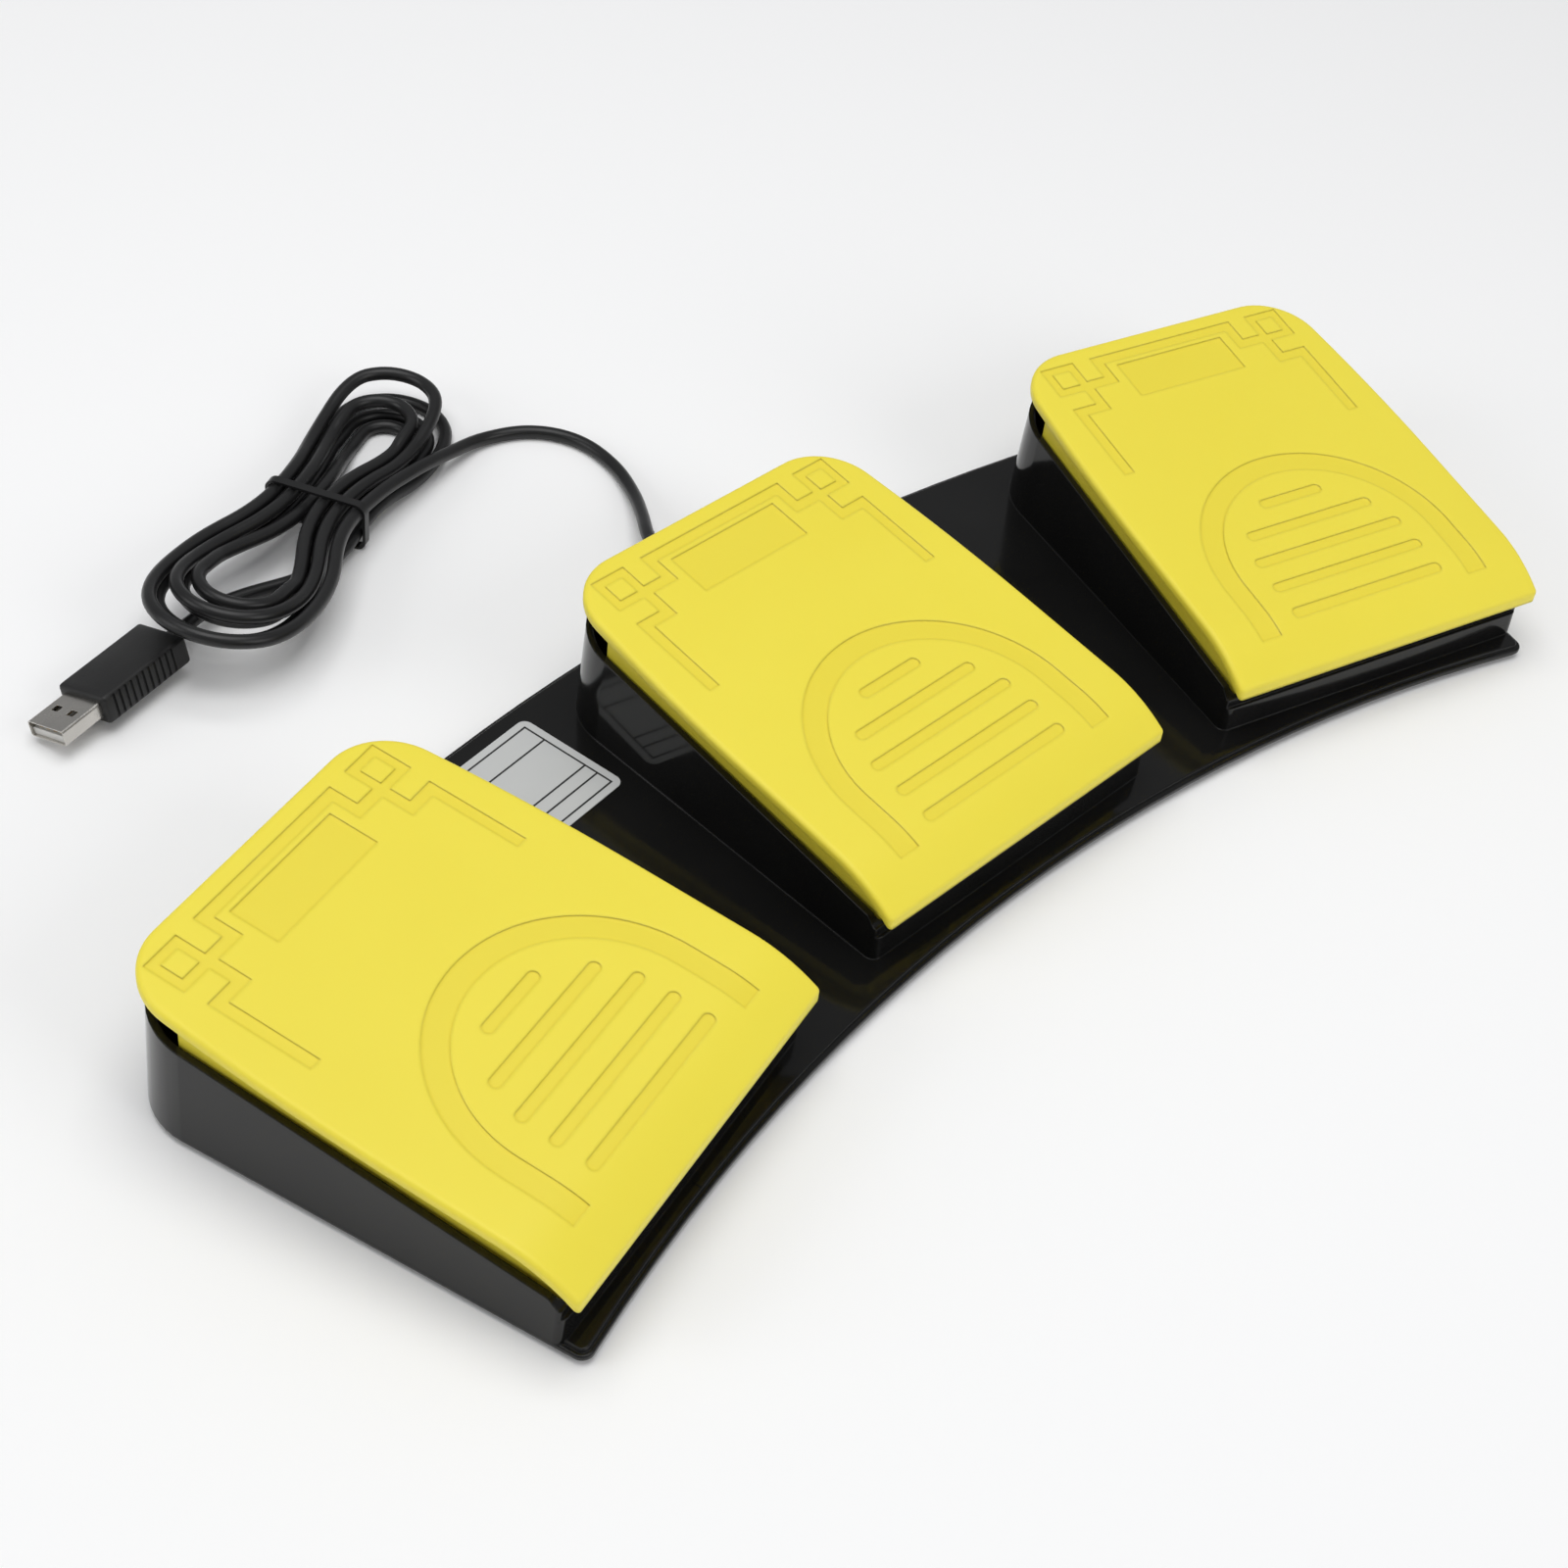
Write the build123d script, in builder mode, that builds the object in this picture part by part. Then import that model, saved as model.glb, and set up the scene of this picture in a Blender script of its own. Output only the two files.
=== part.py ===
from build123d import *
from math import cos, pi, radians, sin, sqrt, tan
import os

# Three pedal USB foot switch, in millimetres. +Z is up, the user stands at -Y, the cord leaves towards +Y,
# and the feet rest on Z = 0. Each pedal and its housing are drawn in a station frame: its origin lies on the
# table below the middle of the pedal's rear edge, and its +Y points away from the centre of the row's arc.
# Places along a station are given as distances forward of that rear edge.

# Deck and bottom cover
foot_height = 1.0
sheet_thickness = 1.0
sheet_inset = 0.7
deck_thickness = 2.2
deck_rear_margin = 6.0
deck_front_radius = 508.0
deck_front_shift = 43.0
deck_end_margin = 0.0
deck_rear_corner = 32.0
deck_front_corner = 3.0
deck_edge_round = 0.45
lip_step_in = 1.2
lip_step_height = 0.9

# Pedal row
pedal_radius = 588.0
pedal_pitch = 15.6

# Pedal plate
plate_width = 101.0
plate_length = 120.0
plate_thickness = 2.6
plate_slope = 7.0
plate_rear_height = 41.4
nose_straight = 101.0
nose_bend_radius = 40.0
nose_turn = 36.0
plate_corner_radius = 16.7
plate_side_turn = 5.0
plate_side_draw = 2.4
plate_nose_corner = 1.3
plate_top_round = 1.2

# Skirt and ribs under the plate
skirt_half = 46.6
skirt_wall = 1.6
skirt_start = 18.0
skirt_front = 114.2
skirt_corner = 1.5
skirt_below_rim = 6.5
rib_thickness = 1.6
rib_depth = 5.0
rib_half_spacing = 22.0
rib_start = 14.0
cross_rib_places = (30.0, 62.0, 103.0)
window_middle = 24.0
window_width = 12.0
window_height = 7.4
window_sill = 1.9

# Relief on the pedal plate
relief_depth = 0.35
fret_stroke = 3.2
fret_rear = 6.5
fret_leg = 22.7
fret_step = 14.1
fret_second_leg = 31.0
fret_turn = 22.6
fret_side = 38.6
fret_end = 45.8
ring_across = 35.4
ring_place = 10.2
ring_outer = 10.8
ring_inner = 5.6
panel_width = 36.0
panel_rear = 9.6
panel_front = 22.6
arch_outer = 38.0
arch_inner = 31.7
arch_place = 92.8
arch_end = 110.5
grip_bar_width = 3.2
grip_bar_place = 70.0
grip_bar_step = 9.0
grip_bar_count = 5
grip_circle = 25.0

# Hinge of the pedal
hinge_place = 11.0
hinge_below_plate = 8.4
press_angle = 2.4
pin_radius = 2.0
pin_fit = 0.05
pin_overhang = 0.6
knuckle_radius = 4.2
knuckle_near = 33.6
knuckle_width = 4.0
knuckle_gap = 0.4
bracket_radius = 4.0
bracket_width = 4.0

# Housing
housing_half = 50.2
housing_rear = 0.5
housing_front = 116.8
housing_corner = 19.0
housing_front_corner = 2.5
housing_draft = 2.5
housing_wall = 1.9
rim_below_plate = 8.7
rim_slope = 8.2
rim_end = 112.4
front_wall_height = 14.0
front_rebate = 0.9
front_rebate_height = 2.6
catch_width = 10.0
catch_thickness = 1.8
catch_reach = 2.2
catch_gap = 0.3

# Return spring
spring_place = 85.0
spring_outer_radius = 7.0
spring_wire = 1.2
spring_turns = 5
spring_post_radius = 5.0
spring_post_height = 5.0
spring_pad_radius = 8.5
spring_pad_below = 4.96
spring_peg_length = 4.0
spring_seat_gap = 0.1

# Micro switch
plunger_place = 38.0
plunger_from_end = 8.9
plunger_radius = 1.6
plunger_height = 1.6
plunger_stem = 3.0
plunger_fit = 0.1
plunger_travel_room = 1.4
switch_length = 27.8
switch_width = 10.3
switch_height = 15.9
switch_bottom = 9.5
switch_round = 0.8
switch_hole_spacing = 22.2
switch_hole_rise = 2.8
terminal_length = 4.2
terminal_width = 4.0
terminal_thickness = 0.6
terminal_step = 8.6
switch_wall = 2.5
switch_wall_height = 11.0
switch_screw_radius = 1.4
switch_screw_clearance = 0.1
switch_head_radius = 2.6
switch_head_height = 1.8
actuator_radius = 3.2
actuator_gap = 0.15

# Rubber stops
stop_place = 98.0
stop_across = 33.0
stop_radius = 4.0
stop_thickness = 3.0
stop_post_height = 2.8
stop_peg_radius = 3.0
stop_landing_gap = 0.12

# Fasteners and feet
boss_across = 40.0
boss_places = (27.0, 106.0)
boss_radius = 3.6
boss_height = 7.0
cover_screw_radius = 1.3
cover_screw_clearance = 0.1
cover_screw_length = 7.0
cover_head_radius = 2.7
cover_head_height = 0.8
cover_hole_radius = 1.7
foot_radius = 7.0
foot_across = 30.0
foot_places = (16.0, 102.0)

# Circuit board in the middle housing
board_length = 26.0
board_width = 24.0
board_thickness = 1.6
board_across = 22.0
board_place = 34.0
board_level = 6.0
board_post_radius = 2.4
board_hole_inset = 3.0
board_screw_radius = 1.0
board_screw_clearance = 0.1
board_head_radius = 1.9
board_head_height = 1.3
board_screw_length = 4.0
chip_size = 7.0
chip_height = 1.2
crystal_length = 4.6
crystal_width = 11.0
crystal_height = 3.4
socket_length = 7.0
socket_width = 6.0
socket_height = 4.8
socket_from_side = 5.0
socket_from_rear = 4.0

# Wires in the deck
loom_width = 5.0
loom_height = 1.1
loom_clearance = 0.15
riser_width = 3.0
left_riser_across = 17.0
right_riser_across = 28.0
middle_riser_across = 13.0

# Label on the deck
label_radial = 33.0
label_side_gap = 4.4
label_thickness = 0.2
label_corner = 2.5
label_radius = 571.6

# Strain relief and cord
cord_diameter = 3.8
core_diameter = 2.4
relief_across = 7.0
relief_level = 10.0
relief_length = 22.0
relief_collar_radius = 5.2
relief_collar_length = 2.0
relief_flange_radius = 5.6
relief_flange = 1.6
relief_root_radius = 4.2
relief_tip_radius = 2.9
relief_neck_clearance = 0.1
bend_share = 0.45
straight_limit = 1e-9
cord_last_run = 11.5
# Bends of the free cord: across, behind the row's rear edge, level
cord_first_bend_behind = 34.5
cord_bends = (
    (20.0, 45.5, 5.0),
    (29.0, 59.0, 1.95),
    (30.5, 76.0, 1.95),
    (24.5, 91.5, 1.95),
    (9.0, 96.0, 1.95),
    (-4.5, 91.4, 5.0),
)

# Hank of folded cord, in its own frame: x along it towards the right bulb, y away from the user
hank_across = -53.8
hank_behind = 90.9
hank_turn = 26.0
hank_left_reach = 41.0
hank_right_reach = 44.5
hank_waist_place = 2.0
hank_left_half = 21.2
hank_right_half = 17.6
hank_waist_half = 12.8
hank_loops_in_layer = 3
hank_pitch = 4.65
hank_layer_pitch = 4.5
hank_waist_lift = 5.6
hank_near_lift = 8.0
hank_far_lift = 10.0
hank_bulb_slope = 0.22
hank_waist_slope = 0.1
hank_exit_turn = 14.0
hank_exit_reach = 14.0
hank_exit_slope = 0.12
hank_exit_drop = 1.7
tie_thickness = 0.8
tie_width = 2.4
tie_gap = 0.35

# USB plug
plug_across = -111.9
plug_behind = 75.2
plug_turn = 193.0
plug_roll = 14.0
plug_body_length = 30.0
plug_body_width = 16.0
plug_body_height = 8.0
plug_body_round = 1.6
plug_rib_count = 5
plug_rib_step = 3.6
plug_rib_groove = 1.4
plug_rib_depth = 0.8
plug_rib_start = 6.0
plug_shell_length = 13.0
plug_shell_width = 12.0
plug_shell_height = 4.5
plug_shell_wall = 0.3
plug_shell_round = 0.7
plug_window = 2.2
plug_window_spacing = 5.2
plug_window_place = 6.0
plug_tongue_height = 1.9
plug_tongue_short = 0.8
plug_tongue_fit = 0.05
plug_contact_width = 1.1
plug_contact_step = 2.4
plug_contact_length = 8.0
plug_contact_thickness = 0.15

# Worked out from the sizes above
overrun = 20.0
deck_end_half = housing_half + deck_end_margin
deck_bottom = foot_height + sheet_thickness
deck_top = deck_bottom + deck_thickness
lip_level = deck_top - lip_step_height
plate_half = plate_width / 2
hinge_height = plate_rear_height - hinge_below_plate
rim_rear_height = plate_rear_height - rim_below_plate
slope_tan = tan(radians(plate_slope))
rim_tan = tan(radians(rim_slope))
draft_tan = tan(radians(housing_draft))
press_sin = sin(radians(press_angle))
row_turn = radians(pedal_pitch)
deck_rear_radius = pedal_radius + deck_rear_margin
nose_start = nose_straight / cos(radians(plate_slope))
skirt_low = rim_rear_height - skirt_below_rim
window_top = skirt_low - rim_tan * skirt_front + window_sill + window_height
catch_top = window_top - window_height + catch_gap + catch_thickness
bracket_across = knuckle_near + knuckle_width + knuckle_gap
pin_length = 2 * (bracket_across + bracket_width + pin_overhang)
bore_radius = pin_radius + pin_fit
switch_place = plunger_place - plunger_from_end + switch_length / 2
switch_side = switch_width / 2
switch_top = switch_bottom + switch_height
switch_hole_level = switch_bottom + switch_hole_rise
terminal_bottom = switch_bottom - terminal_length
plunger_top = switch_top + plunger_height
actuator_bottom = plunger_top + actuator_gap
spring_pad_height = plate_rear_height - slope_tan * spring_place - spring_pad_below
stop_top = deck_top + stop_post_height + stop_thickness
peg_bottom = stop_top + (stop_place + stop_peg_radius - hinge_place) * press_sin + stop_landing_gap
board_top = board_level + board_thickness
loom_radius = pedal_radius - switch_place
groove_height = loom_height + loom_clearance
groove_width = loom_width + 2 * loom_clearance
relief_wall_face = -housing_rear - (relief_level - deck_bottom) * draft_tan
socket_across = board_across - board_length / 2 + socket_from_side
socket_place = board_place - board_width / 2 + socket_from_rear
board_screw_places = (
    (board_across + board_length / 2 - board_hole_inset, -board_place + board_width / 2 - board_hole_inset),
    (board_across - board_length / 2 + board_hole_inset, -board_place - board_width / 2 + board_hole_inset),
)


# Row of stations on its arc
def from_arc_centre(across, along, turn):
    """plan point beside and along the axis of a station that is turned about the arc's centre"""
    return across * cos(turn) - along * sin(turn), across * sin(turn) + along * cos(turn)


def front_edge_along(across, turn):
    """distance from the arc's centre to the deck's front edge, beside a station's axis"""
    forward = deck_front_shift * cos(turn)
    beside = across**2 + deck_front_shift**2 + 2 * across * deck_front_shift * sin(turn)
    return sqrt(deck_front_radius**2 + forward**2 - beside) - forward


def rear_edge_along(across):
    """distance from the arc's centre to the deck's rear edge, beside a station's axis"""
    return sqrt(deck_rear_radius**2 - across**2)


with BuildSketch() as deck_outline:
    with BuildLine():
        rear_corner = from_arc_centre(-deck_end_half, rear_edge_along(deck_end_half), row_turn)
        front_corner = from_arc_centre(-deck_end_half, front_edge_along(-deck_end_half, row_turn), row_turn)
        rear_middle = (0, deck_rear_radius)
        front_middle = (0, deck_front_radius - deck_front_shift)
        ThreePointArc(rear_corner, rear_middle, (-rear_corner[0], rear_corner[1]))
        ThreePointArc(front_corner, front_middle, (-front_corner[0], front_corner[1]))
        Line(rear_corner, front_corner)
        Line((-rear_corner[0], rear_corner[1]), (-front_corner[0], front_corner[1]))
    make_face()
    fillet(deck_outline.vertices().sort_by(Axis.Y)[-2:], radius=deck_rear_corner)
    fillet(deck_outline.vertices().sort_by(Axis.Y)[:2], radius=deck_front_corner)

deck_box = deck_outline.sketch.bounding_box()
arc_centre_y = -(deck_box.min.Y + deck_box.max.Y) / 2
rear_edge_y = arc_centre_y + pedal_radius


def station(turn):
    """frame of a pedal station, turned in degrees about the arc's centre"""
    across, along = from_arc_centre(0, pedal_radius, radians(turn))
    return Location((across, arc_centre_y + along, 0), (0, 0, turn))


stations = {"left": station(pedal_pitch), "middle": station(0), "right": station(-pedal_pitch)}
cover_places = [(side * boss_across, -place) for side in (-1, 1) for place in boss_places]
foot_spots = [(side * foot_across, -place) for side in (-1, 1) for place in foot_places]
stop_spots = [(-stop_across, -stop_place), (stop_across, -stop_place)]


# Helpers for the station frame
def side_plane(across):
    """upright plane along a station, its x towards +Y and its y up, at a place across"""
    return Plane(origin=(across, 0, 0), x_dir=(0, 1, 0), z_dir=(1, 0, 0))


slope_plane = Plane(
    origin=(0, 0, plate_rear_height),
    x_dir=(0, -cos(radians(plate_slope)), -sin(radians(plate_slope))),
    z_dir=(-1, 0, 0),
)


def skin_band(deeper, shallower):
    """side view of the layer between two depths below the plate's top, over the straight part and the nose"""
    with BuildSketch(slope_plane) as band:
        with BuildLine():
            low = Line((-overrun, -deeper), (nose_start, -deeper))
            low_bend = JernArc(low @ 1, low % 1, nose_bend_radius - deeper, -nose_turn)
            high = Line((-overrun, -shallower), (nose_start, -shallower))
            high_bend = JernArc(high @ 1, high % 1, nose_bend_radius - shallower, -nose_turn)
            Line(low @ 0, high @ 0)
            Line(low_bend @ 1, high_bend @ 1)
        make_face()
    return band.sketch


def column(spots, radius, bottom, top):
    """round posts between two levels"""
    with BuildPart() as posts:
        with BuildSketch(Plane.XY.offset(bottom)):
            with Locations(*spots):
                Circle(radius)
        extrude(amount=top - bottom)
    return posts.part


def cross_rod(spots, radius, start, end):
    """round bars along the station's x, at places given as distance along y and level"""
    with BuildPart() as rods:
        with BuildSketch(side_plane(start)):
            with Locations(*spots):
                Circle(radius)
        extrude(amount=end - start)
    return rods.part


def hinge_ears(near, width, radius, level):
    """a pair of ears round the hinge axis, drawn out to a level above or below it"""
    with BuildPart() as ears:
        with BuildSketch(side_plane(near)):
            with Locations((-hinge_place, hinge_height)):
                Circle(radius)
            with Locations((-hinge_place, (hinge_height + level) / 2)):
                Rectangle(2 * radius, abs(level - hinge_height))
        extrude(amount=width)
        mirror(about=Plane.YZ)
    return ears.part


# Pedal cover
with BuildPart() as pedal_plate:
    extrude(skin_band(plate_thickness, 0), amount=plate_half + overrun, both=True)
    with BuildSketch() as plate_plan:
        with BuildLine():
            corner_start = plate_corner_radius * (1 - sin(radians(plate_side_turn)))
            side_radius = plate_side_draw / (1 - cos(radians(plate_side_turn)))
            side_start = corner_start + side_radius * sin(radians(plate_side_turn))
            nose = Line((0, -plate_length), (plate_half, -plate_length))
            flank = Line(nose @ 1, (plate_half, -side_start))
            draw = JernArc(flank @ 1, flank % 1, side_radius, plate_side_turn)
            corner = JernArc(draw @ 1, draw % 1, plate_corner_radius, 90 - plate_side_turn)
            Line(corner @ 1, (0, 0))
            mirror(about=Plane.YZ)
        make_face()
        fillet(plate_plan.vertices().sort_by(Axis.Y)[:2], radius=plate_nose_corner)
    extrude(amount=plate_rear_height + overrun, mode=Mode.INTERSECT)


def skin_level(place):
    """level of the plate's top at a distance forward"""
    if place < nose_straight:
        return plate_rear_height - slope_tan * place
    from_bend = place - nose_straight + nose_bend_radius * sin(radians(plate_slope))
    bend_level = plate_rear_height - slope_tan * nose_straight - nose_bend_radius * cos(radians(plate_slope))
    return bend_level + sqrt(nose_bend_radius**2 - from_bend**2)


def rim_edges(part, depth):
    """edges round the plate at a depth, without the seam where the nose begins"""
    found = []
    for edge in part.edges():
        middle = edge.position_at(1 / 2)
        near_skin = abs(middle.Z - skin_level(-middle.Y) + depth) < plate_thickness / 3
        seam = abs(middle.X) < plate_thickness and abs(-middle.Y - nose_straight) < plate_thickness
        upright = abs(edge.position_at(0).Z - edge.position_at(1).Z) > plate_thickness / 2
        if near_skin and not seam and (edge.length > plate_length / 2 or not upright):
            found.append(edge)
    return found


with BuildPart() as pedal_ribs:
    with BuildSketch():
        with Locations(*[(side * rib_half_spacing, -(rib_start + cross_rib_places[-1]) / 2) for side in (-1, 1)]):
            Rectangle(rib_thickness, cross_rib_places[-1] - rib_start)
        with Locations(*[(0, -place) for place in cross_rib_places]):
            Rectangle(2 * skirt_half - skirt_wall, rib_thickness)
    extrude(amount=plate_rear_height)
    rib_layer = skin_band(plate_thickness + rib_depth, plate_thickness / 2)
    extrude(rib_layer, amount=plate_half, both=True, mode=Mode.INTERSECT)

with BuildPart() as pedal_relief:
    fret = (
        (0, fret_rear),
        (fret_leg, fret_rear),
        (fret_leg, fret_step),
        (fret_second_leg, fret_step),
        (fret_second_leg, fret_turn),
        (fret_side, fret_turn),
        (fret_side, fret_end),
    )
    with BuildSketch() as relief_plan:
        for start, end in zip(fret, fret[1:]):
            with Locations(((start[0] + end[0]) / 2, -(start[1] + end[1]) / 2)):
                Rectangle(abs(end[0] - start[0]) + fret_stroke, abs(end[1] - start[1]) + fret_stroke)
        with Locations((ring_across, -ring_place)):
            Rectangle(ring_outer, ring_outer)
            Rectangle(ring_inner, ring_inner, mode=Mode.SUBTRACT)
        mirror(about=Plane.YZ)
        with Locations((0, -(panel_rear + panel_front) / 2)):
            Rectangle(panel_width, panel_front - panel_rear)
        with BuildSketch(mode=Mode.PRIVATE) as arch:
            with Locations((0, -arch_place)):
                Circle(arch_outer)
            with Locations((0, -(arch_place + arch_end) / 2)):
                Rectangle(2 * arch_outer, arch_end - arch_place)
            with Locations((0, -arch_place)):
                Circle(arch_inner, mode=Mode.SUBTRACT)
            with Locations((0, -arch_place - arch_outer)):
                Rectangle(2 * arch_inner, 2 * arch_outer, mode=Mode.SUBTRACT)
            with Locations((0, -arch_end - arch_outer)):
                Rectangle(2 * arch_outer, 2 * arch_outer, mode=Mode.SUBTRACT)
        add(arch.sketch)
        for index in range(grip_bar_count):
            bar_place = grip_bar_place + index * grip_bar_step
            bar_half = sqrt(grip_circle**2 - max(arch_place - bar_place, 0) ** 2)
            with Locations((0, -bar_place)):
                SlotOverall(2 * bar_half, grip_bar_width)
    extrude(amount=plate_rear_height + overrun)
    extrude(skin_band(relief_depth, -overrun), amount=plate_half, both=True, mode=Mode.INTERSECT)

with BuildPart() as pedal_cover:
    with BuildSketch() as skirt_plan:
        with Locations((0, -(skirt_start + skirt_front) / 2)):
            Rectangle(2 * skirt_half, skirt_front - skirt_start)
        fillet(skirt_plan.vertices().sort_by(Axis.Y)[:2], radius=skirt_corner)
        with Locations((0, -(skirt_start + skirt_front) / 2 + skirt_wall)):
            Rectangle(2 * (skirt_half - skirt_wall), skirt_front - skirt_start, mode=Mode.SUBTRACT)
    extrude(amount=plate_rear_height)
    with BuildSketch(side_plane(0)):
        with BuildLine():
            Polyline(
                (overrun, skirt_low + rim_tan * overrun),
                (-skirt_front - overrun, skirt_low - rim_tan * (skirt_front + overrun)),
                (-skirt_front - overrun, -overrun),
                (overrun, -overrun),
                close=True,
            )
        make_face()
    extrude(amount=plate_half, both=True, mode=Mode.SUBTRACT)
    with BuildSketch(Plane.XY.offset(window_top - window_height)):
        with Locations(*[(side * window_middle, -skirt_front) for side in (-1, 1)]):
            Rectangle(window_width, 2 * skirt_wall + skirt_corner)
    extrude(amount=window_height, mode=Mode.SUBTRACT)
    add(column([(0, -plunger_place)], actuator_radius, actuator_bottom, plate_rear_height))
    add(column([(0, -spring_place)], spring_pad_radius, spring_pad_height, plate_rear_height))
    add(column([(0, -spring_place)], spring_post_radius, spring_pad_height - spring_peg_length, spring_pad_height))
    add(column(stop_spots, stop_peg_radius, peg_bottom, plate_rear_height))
    add(hinge_ears(knuckle_near, knuckle_width, knuckle_radius, plate_rear_height))
    extrude(skin_band(plate_thickness / 2, -overrun), amount=plate_half, both=True, mode=Mode.SUBTRACT)
    add(pedal_ribs.part)
    add(pedal_plate.part)
    fillet(rim_edges(pedal_cover, 0), radius=plate_top_round)
    add(cross_rod([(-hinge_place, hinge_height)], bore_radius, -plate_half, plate_half), mode=Mode.SUBTRACT)
    add(pedal_relief.part, mode=Mode.SUBTRACT)


# Housing of a station, with what is moulded on its floor
def housing_block(inset, corner_radius, bottom):
    """drafted block of the housing's outline, drawn in from its outside"""
    with BuildPart() as block:
        with BuildSketch(Plane.XY.offset(bottom)) as outline:
            with Locations((0, -(housing_rear + housing_front) / 2)):
                Rectangle(2 * (housing_half - inset), housing_front - housing_rear - 2 * inset)
            fillet(outline.vertices().sort_by(Axis.Y)[-2:], radius=housing_corner - inset)
            fillet(outline.vertices().sort_by(Axis.Y)[:2], radius=corner_radius)
        extrude(amount=plate_rear_height, taper=housing_draft)
    return block.part


front_face_at_rebate = -housing_front + (front_wall_height - front_rebate_height - deck_bottom) * draft_tan
catch_face = -housing_front + housing_wall + (catch_top - deck_top) * draft_tan

with BuildPart() as housing:
    add(housing_block(0, housing_front_corner, deck_bottom))
    add(housing_block(housing_wall, housing_front_corner, deck_top), mode=Mode.SUBTRACT)
    with BuildSketch(side_plane(0)):
        with BuildLine():
            Polyline(
                (overrun, rim_rear_height + rim_tan * overrun),
                (-rim_end, rim_rear_height - rim_tan * rim_end),
                (-rim_end - (rim_rear_height - rim_tan * rim_end - front_wall_height), front_wall_height),
                (-housing_front - overrun, front_wall_height),
                (-housing_front - overrun, rim_rear_height + overrun),
                (overrun, rim_rear_height + overrun),
                close=True,
            )
        make_face()
    extrude(amount=plate_width, both=True, mode=Mode.SUBTRACT)
    with BuildSketch(Plane.XY.offset(front_wall_height - front_rebate_height)):
        with Locations((0, front_face_at_rebate + front_rebate - overrun / 2)):
            Rectangle(plate_width, overrun)
    extrude(amount=overrun, mode=Mode.SUBTRACT)
    with BuildSketch(Plane.XY.offset(catch_top - catch_thickness)):
        with Locations(*[(side * window_middle, catch_face + (catch_reach - housing_wall / 2) / 2)
                         for side in (-1, 1)]):
            Rectangle(catch_width, catch_reach + housing_wall / 2)
    extrude(amount=catch_thickness)

with BuildPart() as floor_fittings:
    add(hinge_ears(bracket_across, bracket_width, bracket_radius, lip_level))
    add(column([(0, -spring_place)], spring_post_radius, lip_level, deck_top + spring_post_height))
    add(column(stop_spots, stop_radius, lip_level, deck_top + stop_post_height))
    add(column(cover_places, boss_radius, lip_level, deck_top + boss_height))
    with BuildSketch(Plane.XY.offset(lip_level)):
        with Locations((-switch_side - switch_wall / 2, -switch_place)):
            Rectangle(switch_wall, switch_length)
    extrude(amount=lip_step_height + switch_wall_height)

switch_hole_spots = [(-switch_place + end * switch_hole_spacing / 2, switch_hole_level) for end in (-1, 1)]
switch_bores = cross_rod(
    switch_hole_spots, switch_screw_radius + switch_screw_clearance, -switch_side - switch_wall, switch_side
)
pin_bore = cross_rod([(-hinge_place, hinge_height)], bore_radius, -pin_length / 2, pin_length / 2)
cover_bores = column(cover_places, cover_screw_radius + cover_screw_clearance, deck_bottom,
                     foot_height + cover_screw_length + overrun / 2)

# Deck with its three housings
deck_place = Location((0, arc_centre_y, 0))
cable_plane = Plane(origin=(relief_across, relief_wall_face, relief_level), x_dir=(1, 0, 0), z_dir=(0, 1, 0))
riser_spots = {"left": left_riser_across, "right": right_riser_across}


def loom_band(side, level, height, width, spare):
    """flat band under the deck, on an arc from below an outer switch to below the circuit board"""
    start = from_arc_centre(0, loom_radius, radians(pedal_pitch if side == "left" else -pedal_pitch))
    end = (riser_spots[side], sqrt(loom_radius**2 - riser_spots[side] ** 2))
    middle_across = (start[0] + end[0]) / 2
    middle = (middle_across, sqrt(loom_radius**2 - middle_across**2))
    with BuildPart() as band:
        with BuildLine() as run:
            ThreePointArc(start, middle, end)
        with BuildSketch(Plane.XY):
            add(trace(run.line, line_width=width))
        extrude(amount=height)
        for turn, across in ((pedal_pitch if side == "left" else -pedal_pitch, 0), (0, riser_spots[side])):
            spot = from_arc_centre(across, sqrt(loom_radius**2 - across**2), radians(turn))
            add(Solid.make_box(riser_width + 2 * spare, width, height).moved(
                Location((spot[0], spot[1], 0), (0, 0, turn))
                * Location((-riser_width / 2 - spare, -width / 2, 0))))
    return band.part.moved(deck_place * Location((0, 0, level)))


def riser(width, depth, bottom, top, across, place):
    """upright piece of loom through the deck, in a station's frame"""
    with BuildPart() as upright:
        with BuildSketch(Plane.XY.offset(bottom)):
            with Locations((across, -place)):
                Rectangle(width, depth)
        extrude(amount=top - bottom)
    return upright.part


riser_places = {side: pedal_radius - sqrt(loom_radius**2 - spot**2) for side, spot in riser_spots.items()}

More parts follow.
